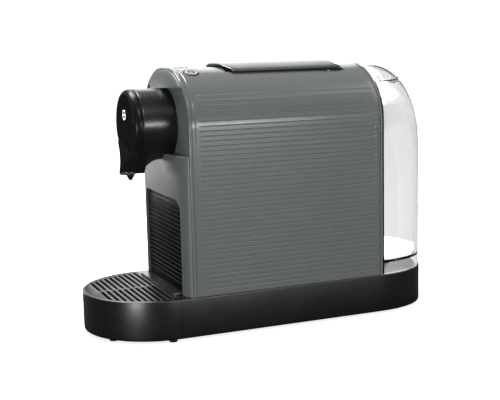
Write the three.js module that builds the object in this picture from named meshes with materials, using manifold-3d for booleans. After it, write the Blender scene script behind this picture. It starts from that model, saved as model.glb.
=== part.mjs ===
// Pod coffee machine: an assembly of separate, named sub-parts. Units are millimetres, +Z is up.
// The origin is on the floor under the centre of the base. The drip tray and spout face -Y,
// the water tank is at +Y, and the mid-plane of the machine is x = 0.

import * as THREE from 'three';
import { mergeVertices } from 'three/addons/utils/BufferGeometryUtils.js';
import { ConvexGeometry } from 'three/addons/geometries/ConvexGeometry.js';
import Module from 'manifold-3d';

const wasm = await Module();
wasm.setup();

// ---------------------------------------------------------------------------------------------
// Driving dimensions
// ---------------------------------------------------------------------------------------------

const GAP = 0.3;                 // between pieces that touch
const FLOOR_GAP = 3;             // the feet hold the base this far off the floor
const FAR = 300;                 // beyond every face of the machine
const ALL = [-FAR, FAR];

// Base: a long plan outline, half an ellipse in front and a blunter superellipse behind
const BASE_HALF = 71;
const FRONT_Y = -185;
const REAR_Y = 185;
const FRONT_RADIUS = 73.2;
const REAR_RADIUS = 80.2;
const REAR_POWER = 2.4;
const BASE_TOP = 42;
const BASE_WALL = 2.6;
const TRAY_SPLIT_Y = -107.9;     // the drip tray ends here and the fixed base begins
const PLATE_THICK = 2.4;
const CORD_Z = 16;
const GLAND_RADIUS = 6.1;

// Body: an arch section, straight sides under elliptical shoulders
const ARCH_HALF = 70;
const CROWN_Z = 260;
const SHOULDER_X = 62;
const SHOULDER_Z = 56;
const SHELL_FRONT_Y = -93.4;
const SHELL_REAR_Y = 111;
const SHELL_WALL = 2.4;

// Front housing: the arch pushed forward as a shallow superellipse
const BULGE_DEPTH = 11;
const BULGE_POWER = 2.6;
const BULGE_SHRINK_Z = 178;      // the bulge rounds off upwards from this height
const RECESS_BOTTOM = 177.5;
const RECESS_TOP = 243.2;
const RECESS_FLOOR_Y = -93.9;

// Brew head: a horizontal drum that carries the spout
const DRUM_Z = 206;
const DRUM_RADIUS = 35.1;
const DRUM_WALL = 2.5;
const DRUM_FRONT_Y = -128.4;
const CAP_FRONT_Y = -136.7;
const CAP_FILLET = 7;
const FUNNEL_DROP = 16;          // the funnel leaves the cap's face this far under the drum's axis
const SPOUT_Y = -135.7;
const SPOUT_RADIUS = 8.4;
const SPOUT_Z = 160.5;
const NOZZLE_Y = -133.1;
const NOZZLE_TIP_Z = 151.3;
const SKIRT_BOTTOM = 157.8;       // a skirt under the drum closes the funnel's back
const SKIRT_TOP = 176;
const HEAD_SIDES = 36;

// Capsule container, which stands on the drip tray's sled and shows its ribbed front
const BIN_HALF = 54;
const BIN_FRONT_Y = -99;
const BIN_REAR_Y = -27;
const BIN_TOP = 135.5;
const BIN_CORNER = 14;
const BIN_WALL = 2.2;
const BIN_RIBS = 17;
const BIN_RIB_PITCH = 4.6;
const SLED_TOP = 44.4;
const LEDGE_Z = 38.4;            // the grate rests on a ledge at this height

// Lever and the gear train that draws the brewing carriage back as the lever is lifted
const LEVER_HALF = 37;
const LEVER_FRONT_Y = -51;
const LEVER_REAR_Y = 81.5;
const PIVOT_Y = 77.5;
const PIVOT_Z = 254.5;
const GEAR_MODULE = 1.5;
const SECTOR_TEETH = 22;
const IDLER_TEETH = 12;
const GEAR_HALF_WIDTH = 2.5;
const GEAR_TIP = 0.75;           // height of a tooth above the pitch line, in modules
const GEAR_ROOT = 1.1;           // depth of a gap below the pitch line, in modules
const TOOTH_ROOT = 0.27;         // half a tooth's width at its root, as a share of the pitch
const TOOTH_TIP = 0.11;
const MESH_PLAY = 0.2;
const SECTOR_RADIUS = SECTOR_TEETH * GEAR_MODULE / 2;
const IDLER_RADIUS = IDLER_TEETH * GEAR_MODULE / 2;
const IDLER_Z = PIVOT_Z - SECTOR_RADIUS - IDLER_RADIUS - MESH_PLAY;
const RACK_Z = IDLER_Z - IDLER_RADIUS - MESH_PLAY;
const LEVER_PIN_RADIUS = 2;
const IDLER_PIN_RADIUS = 1.5;
const BED_BOTTOM = 243.2;        // the lever bed is a plate inside the shell that carries the gears
const BED_TOP = 245.2;

// Capsule drop: a chute under the shell's opening, through the bed and the frame
const CHUTE = { x: 24.5, front: -48.5, rear: -23.5, wall: 2.5 };

// Brewing unit: a chamber behind the head and a carriage that slides on two rails
const CHAMBER_RADIUS = 26;
const CARRIAGE_RADIUS = 21;
const CARRIAGE_FRONT_Y = -48;
const RAIL_X = 27;
const RAIL_RADIUS = 3;
const YOKE_HALF = 34;
const FRAME_HALF = 40;
const FRAME_WALL = 4;
const FRAME_FRONT_Y = -76;
const FRAME_REAR_Y = 40;
const FRAME_BOTTOM = 138;
const FRAME_TOP = 236;

// Water circuit: a pump, a flow meter and a heating block joined by hoses
const PUMP = { x: -34, z: 82, radius: 17, port: 5 };
const HEATER = { x: 37, outletZ: 78, inletZ: 110, port: 4.5 };
const METER = { x: 34, y: 92, z: 56, radius: 14, port: 4 };
const HOSE_RADIUS = 2.8;

// Buttons on the crown, with an indicator lens behind each
const BUTTON_XS = { left: -31, centre: 0, right: 31 };
const BUTTON_Y = -77;
const BUTTON_RADIUS = 6.6;
const BEZEL_RADIUS = 7.9;
const LENS_XS = { left: -35, centre: 0, right: 35 };
const LENS_Y = -63.5;
const LENS_RADIUS = 1.3;

// Water tank and lid
const TANK_FRONT_Y = 113.6;
const TANK_REAR_Y = 184;
const TANK_PROFILE = 92.4;       // length over which the crown falls away to the rear
const TANK_PROFILE_POWER = 4.2;
const TANK_WALL = 2.5;
const TANK_SPLIT_Z = 240.6;
const TANK_FLOOR_Z = 57;
const LID_KNUCKLE = 2.3;
const LID_PIVOT_Y = TANK_FRONT_Y + LID_KNUCKLE;
const LID_PIVOT_Z = 257.6;
const LID_PIN_RADIUS = 1.2;
const VALVE_Y = 148;
const VALVE_RADIUS = 7.1;
const VALVE_FLANGE = 9.4;

const COLORS = {
  shell: 0x616567, housing: 0x7f8587, black: 0x1d1e1f, gloss: 0x161718, chrome: 0xd8dadb,
  clear: 0xe9eded, rubber: 0x141414, steel: 0x9ea2a5, brass: 0xb08d4a, white: 0xe4e4e0,
  board: 0x1f5a36, lens: 0xf2f2ea, silicone: 0xd9d6cf, inner: 0x303234,
};

// ---------------------------------------------------------------------------------------------
// Solids
// ---------------------------------------------------------------------------------------------

function toSolid(geometry) {
  const bare = geometry.clone();
  bare.deleteAttribute('normal');
  bare.deleteAttribute('uv');
  const merged = mergeVertices(bare, 1e-4);
  return new wasm.Manifold(new wasm.Mesh({
    numProp: 3,
    vertProperties: new Float32Array(merged.attributes.position.array),
    triVerts: new Uint32Array(merged.index.array),
  }));
}

function toGeometry(solid) {
  const mesh = solid.getMesh();
  const geometry = new THREE.BufferGeometry();
  geometry.setAttribute('position', new THREE.BufferAttribute(mesh.vertProperties, 3));
  geometry.setIndex(new THREE.BufferAttribute(mesh.triVerts, 1));
  geometry.computeVertexNormals();
  return geometry;
}

function join(first, ...others) {
  return others.reduce((sum, solid) => sum.add(solid), first);
}

function cut(first, ...others) {
  return others.reduce((rest, solid) => rest.subtract(solid), first);
}

function box([x0, x1], [y0, y1], [z0, z1]) {
  const geometry = new THREE.BoxGeometry(x1 - x0, y1 - y0, z1 - z0);
  geometry.translate((x0 + x1) / 2, (y0 + y1) / 2, (z0 + z1) / 2);
  return toSolid(geometry);
}

// Extrusions: the outline lies in the plane across the named axis
const TURN = {
  x: new THREE.Matrix4().makeBasis(new THREE.Vector3(0, 1, 0), new THREE.Vector3(0, 0, 1),
    new THREE.Vector3(1, 0, 0)),
  y: new THREE.Matrix4().makeBasis(new THREE.Vector3(1, 0, 0), new THREE.Vector3(0, 0, 1),
    new THREE.Vector3(0, -1, 0)),
  z: new THREE.Matrix4(),
};

function prism(axis, outline, from, to) {
  const shape = outline instanceof THREE.Shape ? outline : new THREE.Shape(outline);
  const geometry = new THREE.ExtrudeGeometry(shape, {
    depth: to - from, bevelEnabled: false, steps: 1, curveSegments: 8,
  });
  geometry.applyMatrix4(TURN[axis]);
  const offset = { x: [from, 0, 0], y: [0, to, 0], z: [0, 0, from] }[axis];
  geometry.translate(...offset);
  return toSolid(geometry);
}

function circle(radius, u, v, sides) {
  return Array.from({ length: sides }, (_, i) => {
    const angle = (i + 0.5) * 2 * Math.PI / sides;
    return new THREE.Vector2(u + radius * Math.cos(angle), v + radius * Math.sin(angle));
  });
}

function rod(axis, radius, from, to, u, v, sides = 16) {
  return prism(axis, circle(radius, u, v, sides), from, to);
}

function tube(axis, outer, inner, from, to, u, v, sides = 20) {
  const bore = rod(axis, inner, from - 1, to + 1, u, v, sides);
  return rod(axis, outer, from, to, u, v, sides).subtract(bore);
}

// Span between two distances from the mid-plane, on the side given as -1 or 1
function spanOn(side, near, far) {
  return side > 0 ? [near, far] : [-far, -near];
}

// Skin through a row of convex rings with the same number of points, closed with flat ends
function loft(rings) {
  const count = rings[0].length;
  const positions = rings.flat(2);
  const index = [];
  for (let ring = 0; ring < rings.length - 1; ring += 1) {
    for (let i = 0; i < count; i += 1) {
      const a = ring * count + i;
      const b = ring * count + (i + 1) % count;
      index.push(a, b, b + count, a, b + count, a + count);
    }
  }
  const last = (rings.length - 1) * count;
  for (let i = 1; i < count - 1; i += 1) {
    index.push(0, i + 1, i);
    index.push(last, last + i, last + i + 1);
  }
  const geometry = new THREE.BufferGeometry();
  geometry.setAttribute('position', new THREE.Float32BufferAttribute(positions, 3));
  geometry.setIndex(index);
  return toSolid(geometry);
}

// ---------------------------------------------------------------------------------------------
// Outlines shared by several pieces
// ---------------------------------------------------------------------------------------------

const power = (value, exponent) => Math.sign(value) * Math.abs(value) ** exponent;
const superellipse = (t, n) => Math.max(0, 1 - t ** n) ** (1 / n);

// Plan of the base, drawn inwards by inset
function basePlan(inset) {
  const half = BASE_HALF - inset;
  const right = [];
  const steps = 12;
  for (let i = 0; i <= steps; i += 1) {
    const t = i / steps * Math.PI / 2;
    const y = FRONT_Y + inset + (FRONT_RADIUS - inset) * (1 - Math.cos(t));
    right.push([half * Math.sin(t), y]);
  }
  for (let i = 0; i <= steps; i += 1) {
    const t = i / steps * Math.PI / 2;
    const y = REAR_Y - inset - (REAR_RADIUS - inset) * (1 - power(Math.sin(t), 2 / REAR_POWER));
    right.push([half * power(Math.cos(t), 2 / REAR_POWER), y]);
  }
  const left = right.slice(1, -1).reverse().map(([x, y]) => [-x, y]);
  return [...right, ...left].map(([x, y]) => new THREE.Vector2(x, y));
}

// Arch section: half width, crown height and the two shoulder radii, from the foot up and over
function archPoints(half, crown, shoulderX, shoulderZ, foot, steps = 8) {
  const right = [[half, foot]];
  for (let i = 0; i <= steps; i += 1) {
    const t = i / steps * Math.PI / 2;
    right.push([half - shoulderX * (1 - Math.cos(t)), crown - shoulderZ * (1 - Math.sin(t))]);
  }
  const left = right.slice().reverse().map(([x, z]) => [-x, z]);
  return [...right, ...left];
}

function archOutline(inset, foot) {
  const points = archPoints(
    ARCH_HALF - inset, CROWN_Z - inset, SHOULDER_X - inset, SHOULDER_Z - inset, foot,
  );
  return points.map(([x, z]) => new THREE.Vector2(x, z));
}

function archSolid(inset, from, to, foot = BASE_TOP + GAP) {
  return prism('y', archOutline(inset, foot), from, to);
}

function archBand(outerInset, innerInset, from, to) {
  return archSolid(outerInset, from, to).subtract(archSolid(innerInset, from - 1, to + 1, 0));
}

function crownHeight(x) {
  const t = Math.asin(Math.min(1, Math.max(0, Math.abs(x) - (ARCH_HALF - SHOULDER_X)) / SHOULDER_X));
  return CROWN_Z - SHOULDER_Z * (1 - Math.cos(t));
}

function crownTilt(x) {
  const s = Math.max(0, Math.abs(x) - (ARCH_HALF - SHOULDER_X)) / SHOULDER_X;
  return Math.sign(x) * Math.atan2(s / SHOULDER_X, Math.sqrt(1 - s * s) / SHOULDER_Z);
}

// Body behind the shell: the arch narrows with the base's plan and falls away to the rear
function rearSolid(inset, from, foot) {
  const rearY = TANK_REAR_Y - inset;
  const stations = 11;
  const rings = [];
  for (let i = 0; i <= stations; i += 1) {
    const y = from + (rearY - 0.4 - from) * Math.sin(i / stations * Math.PI / 2);
    const planT = Math.max(0, (y - (rearY - (REAR_RADIUS - 1 - inset))) / (REAR_RADIUS - 1 - inset));
    const fallT = Math.max(0, (y - (rearY - (TANK_PROFILE - inset))) / (TANK_PROFILE - inset));
    const wide = superellipse(planT, REAR_POWER);
    const tall = superellipse(fallT, TANK_PROFILE_POWER);
    const half = (ARCH_HALF - inset) * wide;
    const crown = BASE_TOP + (CROWN_Z - inset - BASE_TOP) * tall;
    const shoulderZ = (SHOULDER_Z - inset) * tall;
    const points = archPoints(half, crown, (SHOULDER_X - inset) * wide, shoulderZ, foot, 6);
    rings.push(points.map(([x, z]) => [x, y, z]).reverse());
  }
  return loft(rings);
}

// Front housing's bulge, drawn inwards by inset, from its back edge to its flat front
function bulgeSolid(inset, back, foot) {
  const points = archPoints(ARCH_HALF - 1 - inset, CROWN_Z - 1 - inset, SHOULDER_X - 1 - inset,
    SHOULDER_Z - 1 - inset, foot);
  const depth = BULGE_DEPTH - inset;
  const rings = [points.map(([x, z]) => [x, back, z])];
  const stations = 6;
  for (let i = 0; i < stations; i += 1) {
    const t = i / stations * Math.PI / 2;
    const shrink = power(Math.cos(t), 2 / BULGE_POWER);
    const y = SHELL_FRONT_Y - depth * power(Math.sin(t), 2 / BULGE_POWER);
    rings.push(points.map(([x, z]) => [
      x * shrink, y, z > BULGE_SHRINK_Z ? BULGE_SHRINK_Z + (z - BULGE_SHRINK_Z) * shrink : z,
    ]));
  }
  return loft(rings);
}

function roundedRect(half, bottom, top, radius) {
  const shape = new THREE.Shape();
  shape.moveTo(-half, bottom);
  shape.lineTo(half, bottom);
  shape.lineTo(half, top - radius);
  shape.absarc(half - radius, top - radius, radius, 0, Math.PI / 2, false);
  shape.absarc(radius - half, top - radius, radius, Math.PI / 2, Math.PI, false);
  shape.lineTo(-half, bottom);
  return shape;
}

// Gear with straight-sided teeth; a gap faces straight up unless toothUp is set
function gearOutline(teeth, toothUp) {
  const pitch = teeth * GEAR_MODULE / 2;
  const tip = pitch + GEAR_TIP * GEAR_MODULE;
  const root = pitch - GEAR_ROOT * GEAR_MODULE;
  const step = 2 * Math.PI / teeth;
  const start = Math.PI / 2 + (toothUp ? 0 : step / 2);
  const corners = [[root, -TOOTH_ROOT], [tip, -TOOTH_TIP], [tip, TOOTH_TIP], [root, TOOTH_ROOT]];
  const outline = [];
  for (let tooth = 0; tooth < teeth; tooth += 1) {
    for (const [radius, share] of corners) {
      const angle = start + (tooth + share) * step;
      outline.push(new THREE.Vector2(radius * Math.cos(angle), radius * Math.sin(angle)));
    }
  }
  return outline;
}

function gearSolid(teeth, toothUp, halfWidth, y, z) {
  const outline = gearOutline(teeth, toothUp);
  const placed = outline.map((point) => new THREE.Vector2(point.x + y, point.y + z));
  return prism('x', placed, -halfWidth, halfWidth);
}

// ---------------------------------------------------------------------------------------------
// Assembly
// ---------------------------------------------------------------------------------------------

const machine = new THREE.Group();

const FINISH = {
  shell: [0.55, 0.1], housing: [0.4, 0.1], black: [0.45, 0], gloss: [0.25, 0], chrome: [0.15, 1],
  clear: [0.08, 0], rubber: [0.85, 0], steel: [0.3, 1], brass: [0.35, 1], white: [0.5, 0],
  board: [0.6, 0], lens: [0.3, 0], silicone: [0.6, 0], inner: [0.6, 0],
};

function add(name, solid, look) {
  const [roughness, metalness] = FINISH[look];
  const material = new THREE.MeshStandardMaterial({ color: COLORS[look], roughness, metalness });
  if (look === 'clear') {
    material.transparent = true;
    material.opacity = 0.35;
  }
  const mesh = new THREE.Mesh(toGeometry(solid), material);
  mesh.name = name;
  machine.add(mesh);
  return mesh;
}

// Places a mesh so that its own +Z points along the crown's normal at (x, y)
function seatOnCrown(mesh, x, y) {
  mesh.position.set(x, y, crownHeight(x));
  mesh.rotation.y = crownTilt(x);
}

function crownHole(radius, x, y) {
  const geometry = new THREE.CylinderGeometry(radius, radius, 16, 20);
  geometry.rotateX(Math.PI / 2);
  geometry.rotateY(crownTilt(x));
  geometry.translate(x, y, crownHeight(x));
  return toSolid(geometry);
}

function addBaseHousing() {
  const behindTray = box(ALL, [TRAY_SPLIT_Y + GAP, FAR], ALL);
  const cavity = prism('z', basePlan(BASE_WALL), 0, BASE_TOP - BASE_WALL)
    .intersect(box(ALL, [TRAY_SPLIT_Y + GAP + BASE_WALL, FAR], ALL));
  const dockHole = rod('z', 12.4, 30, 50, 0, VALVE_Y);
  const glandHole = rod('y', GLAND_RADIUS + GAP, REAR_Y - 15, REAR_Y + 5, 0, CORD_Z);
  const wireHole = box([20, 40], [10, 40], [30, 50]);
  const block = prism('z', basePlan(0), FLOOR_GAP, BASE_TOP).intersect(behindTray);
  add('base_housing', cut(block, cavity, dockHole, glandHole, wireHole), 'black');
}

function addBasePlate() {
  const screwSpots = [[-55, -55], [55, -55], [-42, 130], [42, 130]];
  const screwRadius = 1.6;
  let plate = prism('z', basePlan(BASE_WALL + GAP), FLOOR_GAP, FLOOR_GAP + PLATE_THICK)
    .intersect(box(ALL, [TRAY_SPLIT_Y + 2 * GAP + BASE_WALL, FAR], ALL));
  for (const [x, y] of screwSpots) {
    plate = plate.subtract(rod('z', screwRadius + 0.4, 0, 10, x, y, 12));
  }
  add('base_plate', plate, 'black');
  screwSpots.forEach(([x, y], i) => {
    const head = rod('z', 3.6, FLOOR_GAP - 1.8, FLOOR_GAP - GAP, x, y, 12);
    const shank = rod('z', screwRadius, FLOOR_GAP - 1, FLOOR_GAP + 12, x, y, 12);
    add(`base_screw_${i + 1}`, join(head, shank), 'steel');
  });
}

function addFeet(name, radius, spots, sides) {
  spots.forEach(([x, y], i) => {
    add(`${name}_${i + 1}`, rod('z', radius, 0, FLOOR_GAP - GAP, x, y, sides), 'rubber');
  });
}

function addCordGland() {
  const wallInside = REAR_Y - BASE_WALL;
  const barrel = rod('y', GLAND_RADIUS, wallInside - 3.4, REAR_Y - 0.2, 0, CORD_Z);
  const flange = rod('y', GLAND_RADIUS + 2.1, wallInside - 4.4, wallInside - 0.7, 0, CORD_Z);
  const passage = rod('y', 3.6, REAR_Y - 15, REAR_Y + 5, 0, CORD_Z);
  add('cord_gland', cut(join(barrel, flange), passage), 'rubber');
}

function addTankDock() {
  const cup = rod('z', 12, BASE_TOP - 4, BASE_TOP + 6.5, 0, VALVE_Y);
  const flange = rod('z', 15, BASE_TOP - 6, BASE_TOP - 3, 0, VALVE_Y);
  const well = rod('z', VALVE_FLANGE, BASE_TOP + 1, BASE_TOP + 10, 0, VALVE_Y);
  const drain = rod('z', 2.5, BASE_TOP - 12, BASE_TOP + 18, 0, VALVE_Y, 12);
  add('tank_dock', cut(join(cup, flange), well, drain), 'inner');
  const seal = tube('z', VALVE_FLANGE - GAP, 5.6, BASE_TOP + 1.3, BASE_TOP + 3.3, 0, VALVE_Y);
  add('dock_seal', seal, 'silicone');
}

function addDripTray() {
  const inFront = (y) => box(ALL, [-FAR, y], ALL);
  const trayFloor = FLOOR_GAP + 2.8;
  const ledge = 2.2;
  const upper = prism('z', basePlan(BASE_WALL), LEDGE_Z, FAR)
    .intersect(inFront(TRAY_SPLIT_Y - BASE_WALL));
  const lower = prism('z', basePlan(BASE_WALL + ledge), trayFloor, FAR)
    .intersect(inFront(TRAY_SPLIT_Y - BASE_WALL - ledge));
  const block = prism('z', basePlan(0), FLOOR_GAP, BASE_TOP).intersect(inFront(TRAY_SPLIT_Y));
  const sledX = [2 - BIN_HALF, BIN_HALF - 2];
  const sledFront = TRAY_SPLIT_Y - BASE_WALL;
  const sled = join(
    box(sledX, [sledFront, BIN_REAR_Y], [BASE_TOP + 2 * GAP, SLED_TOP]),
    box(sledX, [sledFront, TRAY_SPLIT_Y], [LEDGE_Z, SLED_TOP]),
  );
  add('drip_tray', join(cut(block, upper, lower), sled), 'black');
}

function addDripGrate() {
  const rim = 9;
  const slotPitch = 6.4;
  const slotHalf = 1.5;
  const midrib = 2;
  const rear = TRAY_SPLIT_Y - BASE_WALL;
  let grate = prism('z', basePlan(BASE_WALL + GAP), LEDGE_Z + GAP, BASE_TOP - 0.2)
    .intersect(box(ALL, [-FAR, rear - GAP], ALL));
  for (let y = rear - rim; y > FRONT_Y + 1.6 * rim; y -= slotPitch) {
    const along = Math.min(1, (FRONT_Y + FRONT_RADIUS - y) / FRONT_RADIUS);
    const reach = BASE_HALF * Math.sqrt(1 - along * along) - rim;
    for (const side of [-1, 1]) {
      grate = grate.subtract(box(spanOn(side, midrib, reach), [y - slotHalf, y + slotHalf], ALL));
    }
  }
  add('drip_grate', grate, 'black');
}

function addCapsuleContainer() {
  const floor = SLED_TOP + GAP;
  const rimZ = BIN_TOP - BIN_CORNER;
  const front = roundedRect(BIN_HALF, floor, BIN_TOP, BIN_CORNER);
  const inside = BIN_HALF - BIN_WALL;
  const hollow = box([-inside, inside], [BIN_FRONT_Y + BIN_WALL, BIN_REAR_Y - BIN_WALL],
    [floor + BIN_WALL, FAR]);
  let container = join(
    prism('y', front, BIN_FRONT_Y, BIN_FRONT_Y + BIN_WALL),
    box([-BIN_HALF, BIN_HALF], [BIN_FRONT_Y + 1, BIN_REAR_Y], [floor, rimZ]).subtract(hollow),
  );
  const ribX = [4 - BIN_HALF, BIN_HALF - 4];
  const ribY = [BIN_FRONT_Y - 0.6, BIN_FRONT_Y + 1];
  for (let i = 0; i < BIN_RIBS; i += 1) {
    const z = floor + 8 + i * BIN_RIB_PITCH;
    container = container.add(box(ribX, ribY, [z, z + 1.4]));
  }
  add('capsule_container', container, 'black');
}

function addFrontHousing() {
  const wall = SHELL_WALL;
  const foot = BASE_TOP + GAP;
  const outside = -130;
  const inside = -60;
  const recessZ = [RECESS_BOTTOM - wall, RECESS_TOP + wall];
  const recess = box(ALL, [outside, RECESS_FLOOR_Y], [RECESS_BOTTOM, RECESS_TOP]);
  const grown = box(ALL, [outside, RECESS_FLOOR_Y + wall], recessZ);
  const outer = bulgeSolid(0, SHELL_FRONT_Y - GAP, foot).subtract(recess);
  const inner = bulgeSolid(wall, SHELL_FRONT_Y + 13.4, 0).subtract(grown);
  const flangeInset = wall + GAP;
  const flange = archBand(flangeInset, flangeInset + 2.2, SHELL_FRONT_Y - 1, SHELL_FRONT_Y + 7);
  const floorPlate = archSolid(flangeInset, SHELL_FRONT_Y - 0.5, RECESS_FLOOR_Y + wall)
    .intersect(box(ALL, [outside, 0], recessZ));
  const play = 0.8;
  const binOutline = roundedRect(BIN_HALF + play, 0, BIN_TOP + play, BIN_CORNER);
  const housing = cut(
    join(outer.subtract(inner), flange, floorPlate),
    prism('y', binOutline, outside, inside),
    rod('y', DRUM_RADIUS + GAP, outside, inside, 0, DRUM_Z, 36),
  );
  add('front_housing', housing, 'housing');
}

function addShell() {
  const crown = [CROWN_Z - 25, FAR];
  let shell = cut(
    archBand(0, SHELL_WALL, SHELL_FRONT_Y, SHELL_REAR_Y),
    box([-33, 33], [CHUTE.front - 0.5, PIVOT_Y - 5.5], crown),
    box([-42.5, 42.5], [PIVOT_Y - 11.5, PIVOT_Y + 11], crown),
  );
  for (const side of Object.keys(BUTTON_XS)) {
    shell = cut(
      shell,
      crownHole(BEZEL_RADIUS + GAP, BUTTON_XS[side], BUTTON_Y),
      crownHole(LENS_RADIUS + GAP, LENS_XS[side], LENS_Y),
    );
  }
  add('outer_shell', shell, 'shell');
}

function addBulkhead() {
  const plateBack = SHELL_REAR_Y + GAP;
  const plate = archSolid(SHELL_WALL + GAP, SHELL_REAR_Y - 2.5, plateBack + 0.2);
  const rim = archBand(0, 6, plateBack, TANK_FRONT_Y - GAP);
  const hoseHole = box([-12, 12], [100, 120], [56, 70]);
  add('rear_bulkhead', cut(join(plate, rim), hoseHole), 'housing');
}

function addHeadBody() {
  const skirt = new THREE.Shape();
  skirt.moveTo(DRUM_FRONT_Y, SKIRT_BOTTOM);
  skirt.lineTo(-121.5, SKIRT_BOTTOM);
  skirt.quadraticCurveTo(-119.5, 170, -106, 171.2);
  skirt.lineTo(-106, SKIRT_TOP);
  skirt.lineTo(DRUM_FRONT_Y, SKIRT_TOP);
  const drum = rod('y', DRUM_RADIUS, DRUM_FRONT_Y, -82, 0, DRUM_Z, HEAD_SIDES);
  const hollow = rod('y', DRUM_RADIUS - DRUM_WALL, DRUM_FRONT_Y - 5, -70, 0, DRUM_Z, HEAD_SIDES);
  const nozzleSlot = box([-5.5, 5.5], [DRUM_FRONT_Y - 1, -123], [150, 180]);
  const body = join(drum, prism('x', skirt, -SPOUT_RADIUS, SPOUT_RADIUS));
  add('brew_head_body', cut(body, hollow, nozzleSlot), 'gloss');
}

// Ring of points around the drum's axis
function headRing(radius, y) {
  return Array.from({ length: HEAD_SIDES }, (_, i) => {
    const angle = (i + 0.5) * 2 * Math.PI / HEAD_SIDES;
    return new THREE.Vector3(radius * Math.cos(angle), y, DRUM_Z + radius * Math.sin(angle));
  });
}

// Ring of points around the spout's axis
function spoutRing(radius, z) {
  const sides = 20;
  return Array.from({ length: sides }, (_, i) => {
    const angle = (i + 0.5) * 2 * Math.PI / sides;
    return new THREE.Vector3(radius * Math.cos(angle), SPOUT_Y + radius * Math.sin(angle), z);
  });
}

function hull(points) {
  return toSolid(new ConvexGeometry(points));
}

// Front of the head: a disc with a rounded rim that runs down in a funnel to the spout
function addHeadCap() {
  const arcSteps = 3;
  const throat = SPOUT_RADIUS - 1.8;
  const capBack = DRUM_FRONT_Y - GAP;
  const discPoints = headRing(DRUM_RADIUS, capBack);
  for (let k = 0; k <= arcSteps; k += 1) {
    const turn = k / arcSteps * Math.PI / 2;
    const radius = DRUM_RADIUS - CAP_FILLET * (1 - Math.sin(turn));
    discPoints.push(...headRing(radius, CAP_FRONT_Y + CAP_FILLET * (1 - Math.cos(turn))));
  }
  const funnelPoints = discPoints.filter((point) => point.z < DRUM_Z - FUNNEL_DROP);
  funnelPoints.push(...spoutRing(SPOUT_RADIUS, SPOUT_Z));
  const cavityRadius = DRUM_RADIUS - 4.5;
  const cavityPoints = [
    ...headRing(cavityRadius, CAP_FRONT_Y + DRUM_WALL),
    ...headRing(cavityRadius, DRUM_FRONT_Y + 2),
    ...spoutRing(throat, SPOUT_Z + 4),
  ];
  const ahead = box(ALL, [-FAR, capBack], ALL);
  const cap = cut(
    join(hull(discPoints), hull(funnelPoints)).intersect(ahead),
    hull(cavityPoints),
    rod('z', throat, 150, 170, 0, SPOUT_Y),
  );
  add('brew_head_cap', cap, 'gloss');
  const ring = tube('z', SPOUT_RADIUS, throat, SPOUT_Z - 3.3, SPOUT_Z - GAP, 0, SPOUT_Y);
  add('spout_ring', ring.intersect(ahead), 'chrome');
}

function addNozzle() {
  const bore = 1;
  const body = 3.7;
  const top = 172;
  const profile = [
    [bore, NOZZLE_TIP_Z], [1.7, NOZZLE_TIP_Z], [4.3, 156.6], [body, 157.2], [body, top], [bore, top],
    [bore, NOZZLE_TIP_Z],
  ];
  const lathe = new THREE.LatheGeometry(profile.map(([r, z]) => new THREE.Vector2(r, z)), 14);
  lathe.rotateX(Math.PI / 2);
  lathe.translate(0, NOZZLE_Y, 0);
  add('spout_nozzle', toSolid(lathe), 'inner');
}

function addBadge() {
  const back = CAP_FRONT_Y - GAP;
  add('emblem_badge', tube('y', 5.2, 3.4, back - 0.8, back, 0, DRUM_Z + 10, 16), 'chrome');
}

function addControls() {
  for (const side of Object.keys(BUTTON_XS)) {
    const bezelRing = tube('z', BEZEL_RADIUS, BUTTON_RADIUS + 0.4, -3.4, 0.4, 0, 0);
    const bezel = add(`button_bezel_${side}`, bezelRing, 'black');
    const button = add(`button_${side}`, rod('z', BUTTON_RADIUS, -5, 0.7, 0, 0), 'housing');
    const lensRod = rod('z', LENS_RADIUS, -3.4, 0.25, 0, 0, 12);
    const lens = add(`indicator_lens_${side}`, lensRod, 'lens');
    seatOnCrown(bezel, BUTTON_XS[side], BUTTON_Y);
    seatOnCrown(button, BUTTON_XS[side], BUTTON_Y);
    seatOnCrown(lens, LENS_XS[side], LENS_Y);
  }
  add('control_board', box([-38, 38], [-84, -56], [BED_TOP + 0.2, BED_TOP + 1.8]), 'board');
}

// Curved plate that follows the crown: lift raises it, thickness is measured upwards
function crownPlate(half, lift, thickness, from, to) {
  const steps = 12;
  const top = [];
  for (let i = 0; i <= steps; i += 1) {
    const x = -half + 2 * half * i / steps;
    top.push([x, crownHeight(x) + lift]);
  }
  const outline = [...top, ...top.slice().reverse().map(([x, z]) => [x, z + thickness])];
  return prism('y', outline.map(([x, z]) => new THREE.Vector2(x, z)), from, to);
}

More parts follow.
